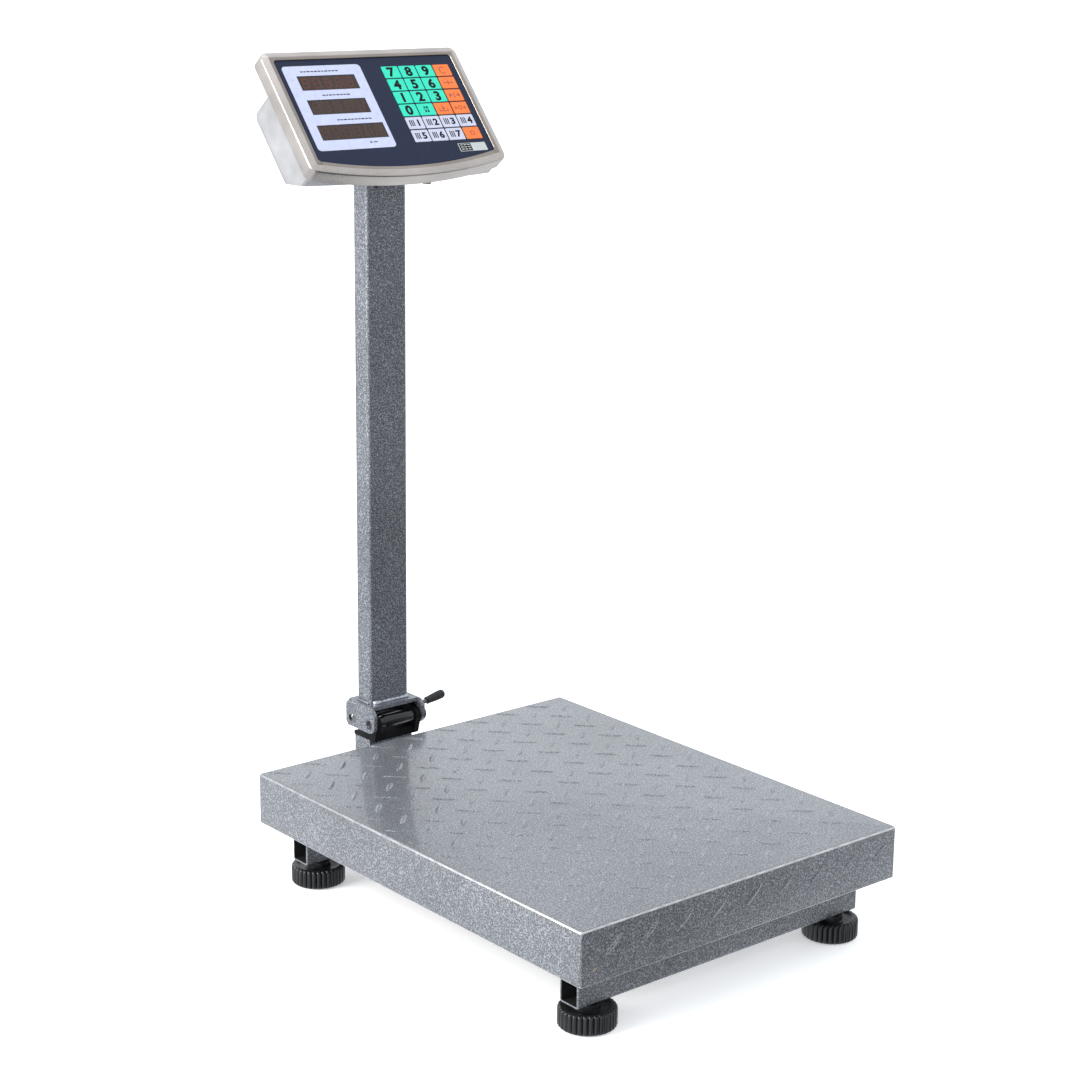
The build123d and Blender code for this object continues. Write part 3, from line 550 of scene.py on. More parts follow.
# ---------------------------------------------------------------- platform
BAR_PITCH_X = 42.4
BAR_PITCH_Y = 40.2
BAR_COLUMNS = 9
BAR_ROWS = 12
BAR_FAMILIES = ((-45, -12.9, 16.4), (45, 8.3, -3.7))  # turn, then shift of the grid in x and y
BAR_LENGTH = 27
BAR_WIDTH = 6.2
BAR_HEIGHT = 0.85
SHEET = 1.5
BEND_RADIUS = 2.6
BEND_STEPS = 6
SKIRT_RADIUS = 3.0
CORNER_STEPS = 6
RING = 4 * (CORNER_STEPS + 1)
HIGHLIGHT_ROWS = (2, 3, 4, 7, 8, 9)  # rows of the cover's mesh at the hem and the top bend, in a brighter, smoother paint: a painted highlight along the rounded edges
SKIRT_BAR_WIDTH = 6.0
FRONT_BAR_LENGTH = 29
FRONT_BAR_START = -162.5
FRONT_BAR_DROP = 20.8
FRONT_BAR_HEIGHT = 1.35
FRONT_BAR_FADE = 0.17
FRONT_BAR_LEAST = 0.2
SIDE_BAR_LENGTH = 25
SIDE_BAR_HEIGHT = 0.5
SIDE_BAR_START = -213
SIDE_BAR_DROP = 28


def cover_shell():
    """The pressed cover: rounded top edges, folded skirts and the sheet's underside."""
    half_x = (COVER_HIGH.x - COVER_LOW.x) / 2 / MM
    half_y = (COVER_HIGH.y - COVER_LOW.y) / 2 / MM
    bottom = COVER_LOW.z / MM
    top = TOP_Z / MM

    def loop(inset, z, radius):
        outline = rounded_rectangle(half_x - inset, half_y - inset, radius, CORNER_STEPS)
        return [Vector((x * MM, PLATFORM_Y + y * MM, z * MM)) for x, y in outline]

    loops = [loop(SHEET + 2, top - SHEET, 1.0), loop(SHEET, top - SHEET - 2, 1.5)]
    loops += [loop(SHEET, bottom + 0.4, 1.5), loop(SHEET * 0.5, bottom, 2.2)]
    loops += [loop(0.2, bottom + 0.3, 2.8), loop(0, bottom + 1.0, SKIRT_RADIUS)]
    for i in range(BEND_STEPS + 1):
        angle = math.radians(90 * i / BEND_STEPS)
        inset = BEND_RADIUS * (1 - math.cos(angle))
        rise = BEND_RADIUS * math.sin(angle)
        corner = max(SKIRT_RADIUS - inset * 0.6, 0.8)
        loops.append(loop(inset, top - BEND_RADIUS + rise, corner))
    return loft(loops)


def top_bars():
    """Two crossed families of tread bars over the whole plate."""
    made = []
    rise = Vector((0, 0, 1))
    for turn, shift_x, shift_y in BAR_FAMILIES:
        along = Vector((math.cos(math.radians(turn)), math.sin(math.radians(turn)), 0))
        across = Vector((-along.y, along.x, 0))
        for column in range(BAR_COLUMNS):
            for row in range(BAR_ROWS):
                x = shift_x + BAR_PITCH_X * (column - (BAR_COLUMNS - 1) / 2)
                y = shift_y + BAR_PITCH_Y * (row - (BAR_ROWS - 1) / 2)
                centre = Vector((x * MM, PLATFORM_Y + y * MM, TOP_Z))
                bar = lens_bar(centre, along, across, rise, BAR_LENGTH, BAR_WIDTH, BAR_HEIGHT)
                made.append(bar)
    return made


def skirt_bars():
    """One row of bars on each skirt; the front and rear rows flatten out towards the right."""
    made = []
    rise = Vector((0, 0, 1))
    slant = (Vector((1, 0, 0)) * 10 + rise * 8.3).normalized()
    for k in range(BAR_COLUMNS):
        x = (FRONT_BAR_START + BAR_PITCH_X * k) * MM
        height = max(FRONT_BAR_HEIGHT - FRONT_BAR_FADE * k, FRONT_BAR_LEAST)
        for y, side in ((COVER_LOW.y, -1), (COVER_HIGH.y, 1)):
            out = Vector((0, side, 0))
            centre = Vector((x, y, TOP_Z - FRONT_BAR_DROP * MM))
            size = (FRONT_BAR_LENGTH, SKIRT_BAR_WIDTH, height)
            made.append(lens_bar(centre, slant, out.cross(slant), out, *size))
    slant = (Vector((0, 1, 0)) * 9 + rise * 8).normalized()
    for k in range(BAR_ROWS):
        y = PLATFORM_Y + (SIDE_BAR_START + BAR_PITCH_Y * k) * MM
        for x, side in ((COVER_LOW.x, -1), (COVER_HIGH.x, 1)):
            out = Vector((side, 0, 0))
            centre = Vector((x, y, TOP_Z - SIDE_BAR_DROP * MM))
            size = (SIDE_BAR_LENGTH, SKIRT_BAR_WIDTH, SIDE_BAR_HEIGHT)
            made.append(lens_bar(centre, slant, out.cross(slant), out, *size))
    return made


def build_platform():
    shape = merged([cover_shell(), *top_bars(), *skirt_bars()])
    # The hem and top bend take the brighter paint: a painted highlight along the rounded edges
    lightened = [row * RING + i for row in HIGHLIGHT_ROWS for i in range(RING)]
    cover = piece("cover_skin", shape, HAMMER, "base", 32, EDGE_HIGHLIGHT, lightened)
    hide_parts("platform_cover")
    chip_at = Vector((COVER_LOW.x + 15 * MM, COVER_LOW.y, TOP_Z - 39 * MM))
    along, across = Vector((0.95, 0, 0.3)), Vector((-0.3, 0, 0.95))
    chip = lens_bar(chip_at, along, across, Vector((0, -1, 0)), 7, 2.6, 0.25)
    piece("paint_chip", chip, BARE, "base")


TUBE_WALL = 2.0
TUBE_CORNER = 2.2


def box_tube(node):
    """An open rectangular tube along X, and the faces of its inside, which take near-black paint
    as painted shade.
    """
    low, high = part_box(node)
    centre = (low + high) / 2
    half_y = (high.y - low.y) / 2 / MM
    half_z = (high.z - low.z) / 2 / MM
    deburr = 0.4 * MM

    def loop(x, inset, radius):
        outline = rounded_rectangle(half_y - inset, half_z - inset, radius, 4)
        return [Vector((x, centre.y + a * MM, centre.z + b * MM)) for a, b in outline]

    loops = [loop(low.x, 0.5, TUBE_CORNER), loop(low.x + deburr, 0, TUBE_CORNER)]
    loops += [loop(high.x - deburr, 0, TUBE_CORNER), loop(high.x, 0.5, TUBE_CORNER)]
    loops += [loop(high.x, TUBE_WALL, 0.8), loop(low.x, TUBE_WALL, 0.8)]
    ring = len(loops[0])
    return loft([*loops, loops[0]], False, False), range(4 * ring, 5 * ring)


def build_base_tubes():
    for node in ("base_front_tube", "base_rear_tube"):
        shape, inside = box_tube(node)
        # The tube's inside takes the near-black: painted shade
        tube = piece(f"{node}_skin", shape, HAMMER, "base", 32, TUBE_SHADE, inside)
        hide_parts(node)


RIBS = 32
RIB_STEPS = 8
RIB_DEPTH = 2.2
KNOB = (  # height, radius and share of the rib's depth, in millimetres
    (0.0, 18.0, 0), (0.0, 23.2, 0), (0.9, 24.6, 0.4), (2.4, 25.0, 1), (17.6, 25.0, 1),
    (19.0, 24.7, 0.8), (19.8, 24.1, 0.4), (20.0, 23.2, 0), (19.7, 22.0, 0), (18.2, 20.6, 0),
    (17.3, 17.0, 0), (17.0, 13.2, 0), (17.8, 12.2, 0), (20.4, 11.8, 0), (23.1, 11.4, 0),
    (23.5, 10.6, 0), (23.5, 5.2, 0), (24.2, 5.0, 0), (59.4, 5.0, 0), (60.0, 4.3, 0),
)


def build_feet():
    """Knurled levelling knobs: scalloped rim, dished top, hub and stud in one moulding."""
    for name in ("foot_front_left", "foot_front_right", "foot_rear_left", "foot_rear_right"):
        low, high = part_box(name)
        centre = (low + high) / 2
        loops = []
        for z, radius, rib in KNOB:
            loop = []
            for i in range(RIBS * RIB_STEPS):
                angle = 2 * math.pi * i / (RIBS * RIB_STEPS)
                lobe = abs(math.cos(angle * RIBS / 2)) ** 0.55
                reach = (radius + rib * RIB_DEPTH * lobe) * MM
                x = centre.x + reach * math.cos(angle)
                y = centre.y + reach * math.sin(angle)
                loop.append(Vector((x, y, z * MM)))
            loops.append(loop)
        knob = piece(f"{name}_knob", loft(loops), KNOB_PLASTIC, name, 40)
        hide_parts(name)


# ---------------------------------------------------------------- indicator shells
# Outlines on the face: width, top, lower edge at the sides and in the middle, corner radius
HEAD = (243, 11, -130, -144, 8)
MEMBRANE = (220, 0, -120, -132.5, 3.4)

# The bezel's section: (inset from the head's outline, height over the film), then the lip
# that comes down to the film as (growth of the membrane's outline, height)
BEZEL_RIM = (
    (1.2, -2.7), (1.2, -16), (0, -16), (0, -2.4), (0.15, -1.5), (0.6, -0.8), (1.3, -0.4),
    (6.2, 1.5), (6.7, 1.68), (7.2, 1.6), (7.5, 1.35),
)
BEZEL_LIP = ((1.0, 1.3), (0.45, 1.15), (0.2, 0.9), (0.1, -1.2))


def shield(width, top, side, middle, corner, inset):
    """The face outline as a loop of fixed length: bowed lower edge, rounded corners."""
    half = width / 2
    sag = side - middle
    radius = (half * half + sag * sag) / (2 * sag)
    centre_y = middle + radius
    inner = radius - inset
    half -= inset
    top -= inset
    corner = max(corner - inset, 0.6)
    corner_x = half - corner
    corner_y = centre_y - math.sqrt((inner - corner) ** 2 - corner_x ** 2)
    lean = math.degrees(math.atan2(corner_y - centre_y, -corner_x)) % 360
    mirror = 540 - lean
    return (
        arc(half - corner, top - corner, corner, 0, 90, 6)
        + arc(-half + corner, top - corner, corner, 90, 180, 6)
        + arc(-corner_x, corner_y, corner, 180, lean, 5)
        + arc(0, centre_y, inner, lean, mirror, 36)
        + arc(corner_x, corner_y, corner, mirror, 360, 5)
    )


def build_bezel():
    """Pressed stainless rim: plain wall, rolled edge, sloping band, crease, and an inner band in a
    darker, rougher copy of the stainless, its darkness painted shade.
    """
    loops = []
    for inset, z in BEZEL_RIM:
        loops.append([face_point(x, y, z) for x, y in shield(*HEAD, inset)])
    for grow, z in BEZEL_LIP:
        loops.append([face_point(x, y, z) for x, y in shield(*MEMBRANE, -grow)])
    ring = len(loops[0])
    inner = range((len(BEZEL_RIM) - 1) * ring, (len(loops) - 2) * ring)
    bezel = piece(
        "bezel_skin", loft(loops), STAINLESS, "column", 50, STAINLESS_SHADED, inner
    )
    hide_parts("bezel")


def flat_plate(name, outline, holes, low, high, material):
    """A thin plate on the indicator's face."""
    return piece(name, plate(outline, holes, low, high, face_point), material, "column")


def box_outline(x0, x1, y0, y1):
    """A rectangle's outline, anticlockwise whichever way round its heights are given."""
    low, high = min(y0, y1), max(y0, y1)
    return [(x0, low), (x1, low), (x1, high), (x0, high)]


def moved(outline, x, y):
    return [(a + x, b + y) for a, b in outline]


PANEL_AT = (-56.6, -57.9)
PANEL_HALF = (46.9, 50.1)
PANEL_CORNER = 4.2


def build_display_panel():
    """The pale panel round the windows, with a fine raised edge."""
    holes = [box_outline(x0, x1, y0, y1)[::-1] for x0, x1, y0, y1, _ in WINDOWS]
    outline = rounded_rectangle(*PANEL_HALF, PANEL_CORNER)
    flat_plate("display_panel", moved(outline, *PANEL_AT), holes, 0.0, 0.09, LAVENDER)
    rim = [(x * 1.013, y * 1.012) for x, y in outline]
    hole = rounded_rectangle(PANEL_HALF[0] - 0.1, PANEL_HALF[1] - 0.1, PANEL_CORNER - 0.1)
    inner = moved(hole, *PANEL_AT)[::-1]
    flat_plate(
        "display_panel_edge", moved(rim, *PANEL_AT), [inner], 0.0, 0.07, PALE_KEY
    )


def window_pane(x0, x1, y0, y1):
    """A smoked pane with a softened edge, set just below the film."""
    half_x, half_y = (x1 - x0) / 2 - 0.1, (y0 - y1) / 2 - 0.1
    centre_x, centre_y = (x0 + x1) / 2, (y0 + y1) / 2
    loops = []
    for inset, z in ((0, -1.2), (0, -0.5), (0.3, -0.22), (0.8, -0.2)):
        outline = rounded_rectangle(half_x - inset, half_y - inset, 0.5, 2)
        loops.append([face_point(x + centre_x, y + centre_y, z) for x, y in outline])
    return loft(loops)


SEGMENT_WIDTH = 1.15
SEGMENT_TRIM = 0.22
DIGIT_HALF_HEIGHT = 5.4
DIGIT_SHARE = 0.27  # half a digit's width, as a share of the digits' pitch
DIGIT_LEAN = 0.12
DIGIT_MARGIN = 2
DIGIT_SHIFT = 0.8
DOT_RADIUS = 0.55
SEGMENTS = (  # ends on a grid of half widths and half heights
    ((-1, 1), (1, 1)),
    ((-1, 0), (1, 0)),
    ((-1, -1), (1, -1)),
    ((-1, 0), (-1, 1)),
    ((1, 0), (1, 1)),
    ((-1, -1), (-1, 0)),
    ((1, -1), (1, 0)),
)


def stroke(start, end, width, trim):
    """A flat bar with pointed ends between two points."""
    ax, ay = start
    bx, by = end
    length = math.hypot(bx - ax, by - ay)
    ux, uy = (bx - ax) / length, (by - ay) / length
    nx, ny = -uy * width / 2, ux * width / 2
    made = []
    for along, side in (
        (trim, 0), (trim + width / 2, -1), (length - trim - width / 2, -1),
        (length - trim, 0), (length - trim - width / 2, 1), (trim + width / 2, 1),
    ):
        made.append((ax + ux * along + nx * side, ay + uy * along + ny * side))
    return made


def digit_outlines(x, y, half_w, half_h):
    """The seven segments and the point of one digit."""
    made = []
    for segment in SEGMENTS:
        ends = []
        for a, b in segment:
            ends.append((x + a * half_w + b * half_h * DIGIT_LEAN, y + b * half_h))
        made.append(stroke(*ends, SEGMENT_WIDTH, SEGMENT_TRIM))
    dot = arc(0, 0, DOT_RADIUS, 0, 315, 7)
    made.append(moved(dot, x + half_w + 1.7, y - half_h))
    return made


def build_windows():
    """The smoked panes and, just under their front, the digits, unlit except the first window's,
    which take a brighter red as a painted glow.
    """
    panes = merged([window_pane(x0, x1, y0, y1) for x0, x1, y0, y1, _ in WINDOWS])
    pane = piece("window_panes", panes, SMOKED, "column")
    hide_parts("display_windows")
    for number, (x0, x1, y0, y1, count) in enumerate(WINDOWS):
        pitch = (x1 - x0 - 2 * DIGIT_MARGIN) / count
        half_width = pitch * DIGIT_SHARE
        shapes = []
        for i in range(count):
            x = x0 + DIGIT_MARGIN + pitch * (i + 0.5) - DIGIT_SHIFT
            for outline in digit_outlines(x, (y0 + y1) / 2, half_width, DIGIT_HALF_HEIGHT):
                shapes.append(plate(outline, [], -0.25, -0.17, face_point))
        # The first window's digits take the brighter red: a painted glow
        ink = SEGMENT_GLOW if number == 0 else SEGMENT
        piece(f"digits_{number + 1}", merged(shapes), ink, "column")


# ---------------------------------------------------------------- keypad marks
def key_centre(name):
    """The middle of a key on the indicator's face, in millimetres."""
    low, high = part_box(name)
    middle = (low + high) / 2 - FACE_AT
    return middle.x / MM, middle.dot(FACE_UP) / MM


NUMERAL_BOLD = 0.042
NUMERAL_STRETCH = 1.1


def numeral_mesh(text, size):
    """A numeral as triangles, from Blender's own plain typeface, centred on its box."""
    curve = bpy.data.curves.new("numeral", "FONT")
    curve.body = text
    curve.size = size
    curve.offset = size * NUMERAL_BOLD
    curve.resolution_u = 5
    holder = bpy.data.objects.new("numeral", curve)
    bpy.context.scene.collection.objects.link(holder)
    bpy.context.view_layer.update()
    mesh = bpy.data.meshes.new_from_object(holder)
    points = [(v.co.x, v.co.y) for v in mesh.vertices]
    faces = [tuple(p.vertices) for p in mesh.polygons]
    bpy.data.objects.remove(holder)
    bpy.data.curves.remove(curve)
    bpy.data.meshes.remove(mesh)
    centre_x = (min(p[0] for p in points) + max(p[0] for p in points)) / 2
    centre_y = (min(p[1] for p in points) + max(p[1] for p in points)) / 2
    flat = [((x - centre_x) * NUMERAL_STRETCH, y - centre_y) for x, y in points]
    return flat, faces


def inked(flat, x, y, low, high):
    """A flat ink shape given real thickness, on the face."""
    points, faces = flat
    count = len(points)
    solid = [face_point(a + x, b + y, high) for a, b in points]
    solid += [face_point(a + x, b + y, low) for a, b in points]
    rim = {}
    for face in faces:
        for a, b in zip(face, face[1:] + face[:1]):
            if (b, a) in rim:
                del rim[(b, a)]
            else:
                rim[(a, b)] = True
    made = list(faces) + [tuple(i + count for i in reversed(face)) for face in faces]
    made += [(a, b, b + count, a + count) for a, b in rim]
    return solid, made


def ring_outline(radius, width, start, end, steps=20):
    """An open ring between two angles."""
    outer = arc(0, 0, radius, start, end, steps)
    inner = arc(0, 0, radius - width, end, start, steps)
    return outer + inner


# Plain line symbols for the function keys, as outlines in millimetres
SYMBOLS = {
    "clear": [ring_outline(4.4, 1.1, 50, 310)],
    "power": [ring_outline(3.0, 0.8, 115, 425), box_outline(-0.4, 0.4, 0.4, 3.6)],
    "plus": [
        box_outline(-6.0, -2.6, -0.5, 0.5), box_outline(-0.6, 0.6, -2.6, 2.6),
        box_outline(-2.2, -0.7, -0.6, 0.6), box_outline(0.7, 2.2, -0.6, 0.6),
        box_outline(2.6, 6.0, -0.5, 0.5),
    ],
    "tare": [
        [(-6.5, 2.4), (-2.2, 0), (-6.5, -2.4)], [(6.5, 2.4), (6.5, -2.4), (2.2, 0)],
        box_outline(-0.6, 0.6, -3, 3),
    ],
    "zero": [
        [(-6.8, 2.2), (-3.6, 0), (-6.8, -2.2)], [(6.8, 2.2), (6.8, -2.2), (3.6, 0)],
        ring_outline(2.6, 0.9, 0, 354, 24),
    ],
    "store": [
        box_outline(-0.6, 0.6, 0.3, 3.4), [(-2.4, 0.6), (2.4, 0.6), (0, -1.9)],
        box_outline(-5.6, 5.6, -3.4, -2.5), box_outline(-5.6, -4.7, -2.4, 0.2),
        box_outline(4.7, 5.6, -2.4, 0.2),
    ],
    "pair": [
        box_outline(-2.6, -0.6, 1.6, 3.6), box_outline(0.3, 3.0, 1.6, 3.6),
        box_outline(-3.4, 3.4, -0.1, 0.6), box_outline(-2.6, -0.4, -3.4, -1.2),
        box_outline(0.6, 2.8, -3.4, -1.2),
    ],
}
NUMERALS = {
    "key_r1_c1": "7", "key_r1_c2": "8", "key_r1_c3": "9",
    "key_r2_c1": "4", "key_r2_c2": "5", "key_r2_c3": "6",
    "key_r3_c1": "1", "key_r3_c2": "2", "key_r3_c3": "3",
    "key_r4_c1": "0",
}
MEMORY = {
    "key_r5_c1": "1", "key_r5_c2": "2", "key_r5_c3": "3", "key_r5_c4": "4",
    "key_r6_c1": "5", "key_r6_c2": "6", "key_r6_c3": "7",
}
FUNCTIONS = {
    "key_r1_c4": ("clear", RED_INK), "key_r2_c4": ("plus", RED_INK),
    "key_r3_c4": ("tare", RED_INK), "key_r4_c4": ("zero", RED_INK),
    "key_r4_c3": ("store", RED_INK), "key_r4_c2": ("pair", INK),
    "key_r6_c4": ("power", RED_INK),
}
KEY_FACE = 0.3  # height of the keys over the film
NUMERAL_SIZE = 15
MEMORY_SIZE = 10.5


def build_key_marks():
    """Ink on the keys: numerals, a triple bar with a numeral, or a symbol."""
    low, high = KEY_FACE - 0.03, KEY_FACE + 0.05
    for name, text in NUMERALS.items():
        x, y = key_centre(name)
        shape = inked(numeral_mesh(text, NUMERAL_SIZE), x, y, low, high)
        piece(f"{name}_mark", shape, INK, name)
    for name, text in MEMORY.items():
        x, y = key_centre(name)
        shapes = [inked(numeral_mesh(text, MEMORY_SIZE), x + 4.2, y, low, high)]
        for shift in (-6.2, -3.9, -1.6):
            outline = moved(box_outline(-0.6, 0.6, -3.7, 3.7), x + shift, y)
            shapes.append(plate(outline, [], low, high, face_point))
        piece(f"{name}_mark", merged(shapes), INK, name)
    for name, (kind, ink) in FUNCTIONS.items():
        x, y = key_centre(name)
        shapes = []
        for outline in SYMBOLS[kind]:
            shapes.append(plate(moved(outline, x, y), [], low, high, face_point))
        piece(f"{name}_mark", merged(shapes), ink, name)


CAPTIONS = ((-84, -38, -14.2), (-70, -34, -43.2), (-66, -24, -73.2))  # left, right, height
DASHES = (3.2, 2.4, 4.0, 2.8, 3.4)
DASH_GAP = 1.1
SIDE_MARKS = (-24, -34, -62)
INK_LOW = 0.05
INK_HIGH = 0.13
POINTER_AT = (-38, -101.5)


def build_panel_marks():
    """Short dashes stand where the display captions were, with one round pointer."""
    shapes = []
    for x0, x1, y in CAPTIONS:
        x = x0
        i = 0
        while x + DASHES[i % len(DASHES)] < x1:
            width = DASHES[i % len(DASHES)]
            outline = box_outline(x, x + width, y - 0.65, y + 0.65)
            shapes.append(plate(outline, [], INK_LOW, INK_HIGH, face_point))
            x += width + DASH_GAP
            i += 1
    pointer = moved(arc(0, 0, 1.1, 0, 340, 17), *POINTER_AT)
    shapes.append(plate(pointer, [], INK_LOW, INK_HIGH + 0.01, face_point))
    dash = box_outline(-35, -30, -102, -101)
    shapes.append(plate(dash, [], INK_LOW, INK_HIGH, face_point))
    piece("panel_marks", merged(shapes), INK, "column")
    faint = []
    for y in SIDE_MARKS:
        outline = box_outline(-99.5, -94.5, y - 0.6, y + 0.6)
        faint.append(plate(outline, [], INK_LOW, 0.12, face_point))
    piece("panel_marks_faint", merged(faint), PALE_INK, "column")


SEAL_AT = (84, -114.6)
SEAL_HALF = (17.6, 5.0)
SEAL_DARK = (67.4, 82.5, -119, -110.2)  # left, right, bottom, top
SEAL_LINE_TOP = -111.8
SEAL_LINE_PITCH = 2.6
SEAL_LINE_LENGTH = 3.2


def build_sticker():
    """A small plain two-tone seal under the keys."""
    base = moved(rounded_rectangle(*SEAL_HALF, 0.8, 3), *SEAL_AT)
    flat_plate("seal_base", base, [], 0.0, 0.1, PALE_INK)
    flat_plate("seal_dark", box_outline(*SEAL_DARK), [], 0.06, 0.15, INK)
    lines = []
    for row in range(3):
        y = SEAL_LINE_TOP - row * SEAL_LINE_PITCH
        for x in (69.0, 73.4, 77.8):
            outline = box_outline(x, x + SEAL_LINE_LENGTH, y - 0.5, y + 0.5)
            lines.append(plate(outline, [], 0.1, 0.19, face_point))
    piece("seal_lines", merged(lines), PALE_INK, "column")


# ---------------------------------------------------------------- column, welds, hinge
def build_welds():
    """Weld beads round the column's foot, the heavy one in front."""
    low, high = COLUMN_LOW, COLUMN_HIGH
    z = low.z + 0.6 * MM
    margin = 2 * MM

    def across(y):
        return [Vector((low.x + margin, y, z)), Vector((high.x - margin, y, z))]

    beads = [bead(sampled(across(low.y - 0.8 * MM), 0.6 * MM), 2.5, 0.45, 5.8)]
    beads.append(bead(sampled(across(high.y + 0.4 * MM), 0.9 * MM), 1.5, 0.35, 3.2))
    for x in (low.x - 0.4 * MM, high.x + 0.4 * MM):
        ends = [Vector((x, low.y + margin, z)), Vector((x, high.y - margin, z))]
        beads.append(bead(sampled(ends, 0.9 * MM), 1.2, 0.3, 3.0))
    piece("column_welds", merged(beads), WELD, "column", 60)


ROD_RADIUS = 4
GRIP_LEAN = math.radians(10)
GRIP_LENGTH = 25.5
GRIP_COLLAR = ((0.2, 2.6), (0.2, 3.4), (0.6, 4.0), (1.4, 4.3), (2.0, 4.1), (2.6, 4.1))
GRIP_START_RADIUS = 4.1
GRIP_SWELL = 0.9
GRIP_NOSE = 4
GRIP_NOSE_RADIUS = 4.95


def build_grip():
    """The rubber grip: a soft collar, a swelling tapered barrel and a round nose."""
    base_z = ROD_LOW.z + ROD_RADIUS * MM + 0.4 * MM
    base = Vector((GRIP_LOW.x, (GRIP_LOW.y + GRIP_HIGH.y) / 2, base_z))
    axis = Vector((math.cos(GRIP_LEAN), 0, math.sin(GRIP_LEAN)))
    profile = list(GRIP_COLLAR)
    for i in range(12):
        along = 3 + (GRIP_LENGTH - 7) * i / 11
        profile.append((along, GRIP_START_RADIUS + GRIP_SWELL * math.sin(i / 11 * math.pi * 0.55)))
    for i in range(1, 8):
        angle = math.radians(90 * i / 7)
        along = GRIP_LENGTH - GRIP_NOSE + GRIP_NOSE * math.sin(angle)
        profile.append((along, max(GRIP_NOSE_RADIUS * math.cos(angle), 0.3)))
    grip = piece("grip_rubber", turned(base, axis, profile), RUBBER, "lock", 60)
    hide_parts("lock_grip")


def build_sleeve():
    """The black hinge barrel: rolled ends and a narrower collar at the left."""
    width = (SLEEVE_HIGH.x - SLEEVE_LOW.x) / MM
    profile = [(0, 5.1), (0, 5.9), (0.4, 6.3), (6.2, 6.35), (6.6, 6.9), (7.2, 7.25)]
    profile += [(width - 1.0, 7.25), (width - 0.3, 6.9), (width, 6.2), (width, 5.1)]
    middle_z = (SLEEVE_LOW.z + SLEEVE_HIGH.z) / 2
    base = Vector((SLEEVE_LOW.x, (PIN_LOW.y + PIN_HIGH.y) / 2, middle_z))
    shape = turned(base, Vector((1, 0, 0)), profile, 48)
    sleeve = piece("hinge_barrel", shape, GLOSS_BLACK, "base", 40)
    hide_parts("hinge_sleeve")


def build_pin():
    """The hinge pin: a dished left end, a plain shank and a domed head at the right."""
    length = (PIN_HIGH.x - PIN_LOW.x) / MM
    profile = [(1.6, 0.4), (1.6, 2.9), (0.5, 3.6), (0.1, 4.0), (0.0, 4.5), (0.4, 5.0)]
    profile += [(length - 4, 5.0), (length - 4, 7.4), (length - 3.7, 8.0), (length - 1.4, 8.0)]
    profile += [(length - 0.5, 7.2), (length - 0.1, 5.6), (length, 3.0), (length, 0.4)]
    base = Vector((PIN_LOW.x, (PIN_LOW.y + PIN_HIGH.y) / 2, (PIN_LOW.z + PIN_HIGH.z) / 2))
    shape = turned(base, Vector((1, 0, 0)), profile)
    pin = piece("pin_turned", shape, DARK_STEEL, "base")
    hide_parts("hinge_pin")


# ---------------------------------------------------------------- studio
CAMERA_AT = Vector((-1.44127, -1.72584, 0.95517))
CAMERA_AZIMUTH = math.radians(39.997)
CAMERA_DROP = math.radians(14.668)
CAMERA_ROLL = math.radians(0.627)
CAMERA_LENS = 79.31


def build_camera():
    """The photograph's viewpoint: azimuth from +Y, drop below level, and a slight roll."""
    level = math.cos(CAMERA_DROP)
    ahead = Vector((
        math.sin(CAMERA_AZIMUTH) * level,
        math.cos(CAMERA_AZIMUTH) * level,
        -math.sin(CAMERA_DROP),
    ))
    flat = ahead.cross(Vector((0, 0, 1))).normalized()
    upright = flat.cross(ahead)
    right = flat * math.cos(CAMERA_ROLL) + upright * math.sin(CAMERA_ROLL)
    up = right.cross(ahead)
    camera = bpy.data.cameras.new("camera")
    camera.lens = CAMERA_LENS
    camera.sensor_width = 36
    camera.clip_end = 100
    holder = bpy.data.objects.new("camera", camera)
    turn = Matrix((right, up, -ahead)).transposed().to_4x4()
    holder.matrix_world = Matrix.Translation(CAMERA_AT) @ turn
    bpy.context.scene.collection.objects.link(holder)
    bpy.context.scene.camera = holder


def soft_light(name, place, target, size, energy, tint=(1, 1, 1)):
    """A disc light aimed at a point."""
    light = bpy.data.lights.new(name, "AREA")
    light.shape = "DISK"
    light.size = size
    light.energy = energy
    light.color = tint
    holder = bpy.data.objects.new(name, light)
    holder.location = place
    holder.rotation_euler = (Vector(target) - Vector(place)).to_track_quat("-Z", "Y").to_euler()
    bpy.context.scene.collection.objects.link(holder)


DIM_SIDE = (0.24, -0.89, -0.39)
DIM_FROM = 0.66  # cosine of the angle to the dim side at which the fade starts
DIM_FULL = 0.97
BRIGHT = 1.2
DIM = 0.14
SKY = (0.91, 0.95, 1.0, 1)


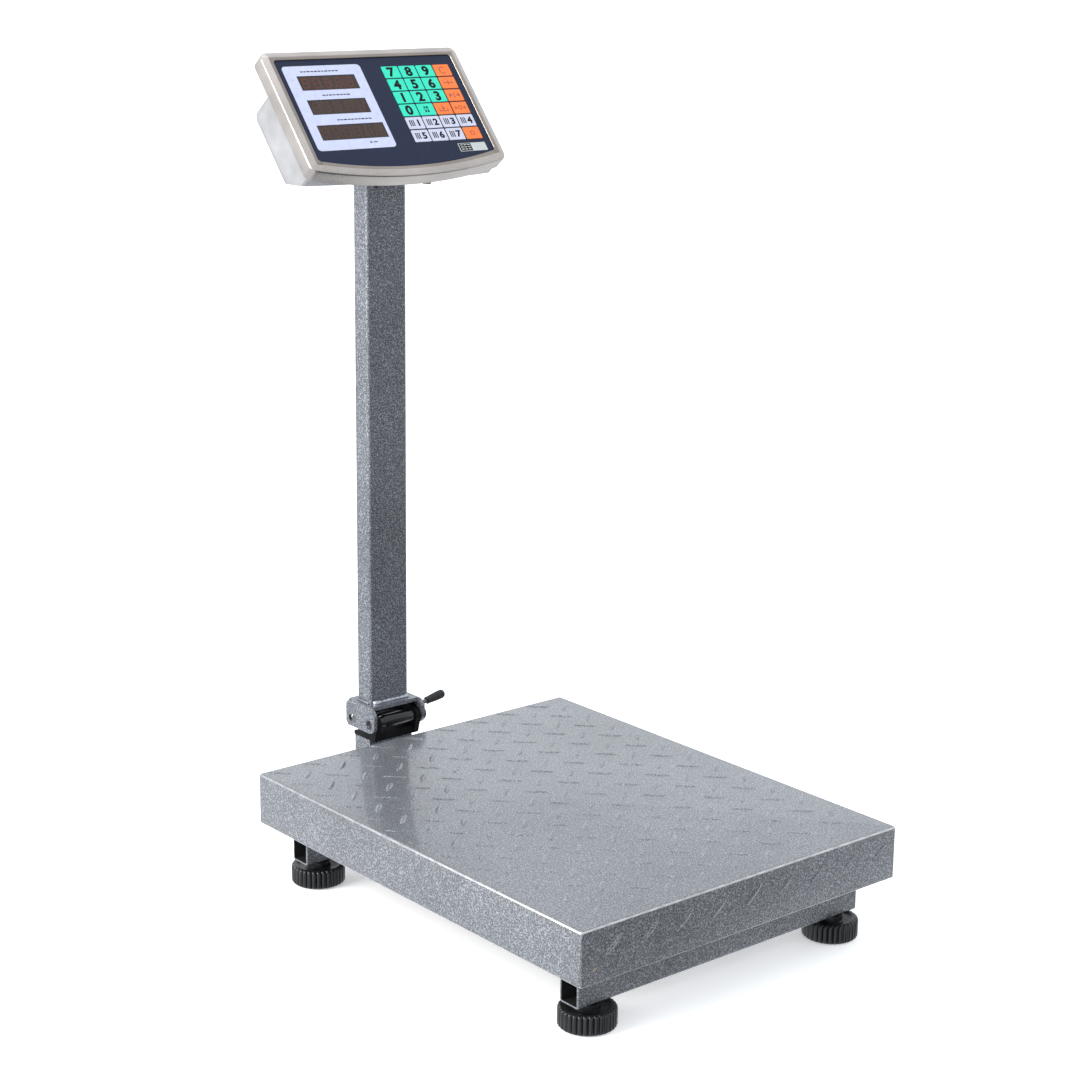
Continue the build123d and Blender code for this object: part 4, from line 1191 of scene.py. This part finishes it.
def build_world():
    """A white studio all round, with the dim part of the room low at the front right."""
    world = bpy.data.worlds.new("studio")
    bpy.context.scene.world = world
    world.use_nodes = True
    nodes, links = world.node_tree.nodes, world.node_tree.links
    back = nodes["Background"]
    coords = nodes.new("ShaderNodeTexCoord")
    aim = nodes.new("ShaderNodeVectorMath")
    aim.operation = "DOT_PRODUCT"
    aim.inputs[1].default_value = DIM_SIDE
    links.new(coords.outputs["Generated"], aim.inputs[0])
    level = nodes.new("ShaderNodeMapRange")
    level.interpolation_type = "SMOOTHSTEP"
    level.inputs["From Min"].default_value = DIM_FROM
    level.inputs["From Max"].default_value = DIM_FULL
    level.inputs["To Min"].default_value = BRIGHT
    level.inputs["To Max"].default_value = DIM
    links.new(aim.outputs["Value"], level.inputs["Value"])
    links.new(level.outputs["Result"], back.inputs["Strength"])
    back.inputs["Color"].default_value = SKY


FLOOR_RADIUS = 30
FLOOR_GLOW = 0.4


def build_floor():
    """A wide pale floor, kept out of glossy reflections so that paint and steel keep contrast."""
    made = Shader("studio_floor", Roughness=0.65, Specular_IOR_Level=0.2)
    made.bsdf.inputs["Emission Color"].default_value = (1, 1, 1, 1)
    made.bsdf.inputs["Emission Strength"].default_value = FLOOR_GLOW
    drift = made.noise(1.5, 2)
    made.set("Base Color", made.ramp(drift, ((0.3, grey(249)), (0.7, grey(252)))))
    mesh = bpy.data.meshes.new("studio_floor")
    rim = [(x, y, 0) for x, y in arc(0, 0, FLOOR_RADIUS, 0, 355, 71)]
    mesh.from_pydata(rim, [], [tuple(range(len(rim)))])
    mesh.materials.append(made.material)
    floor = bpy.data.objects.new("studio_floor", mesh)
    bpy.context.scene.collection.objects.link(floor)
    floor.visible_glossy = False


KEY_AT = (-2.1, 0.5, 1.2)
KEY_TARGET = (-0.1, -0.2, 0.1)
KEY_SIZE = 1.6
KEY_POWER = 68
KEY_TINT = (1.0, 0.98, 0.95)
TOP_AT = (-0.2, 0.6, 3.0)
TOP_SIZE = 2.4
TOP_POWER = 12


def build_studio():
    build_camera()
    build_world()
    build_floor()
    soft_light("key", KEY_AT, KEY_TARGET, KEY_SIZE, KEY_POWER, KEY_TINT)
    soft_light("top", TOP_AT, (0, 0, 0), TOP_SIZE, TOP_POWER)
    bpy.context.scene.view_settings.view_transform = "Standard"


finish_cad_nodes()
build_platform()
build_base_tubes()
build_feet()
build_bezel()
build_display_panel()
build_windows()
build_key_marks()
build_panel_marks()
build_sticker()
build_welds()
build_grip()
build_sleeve()
build_pin()
build_studio()
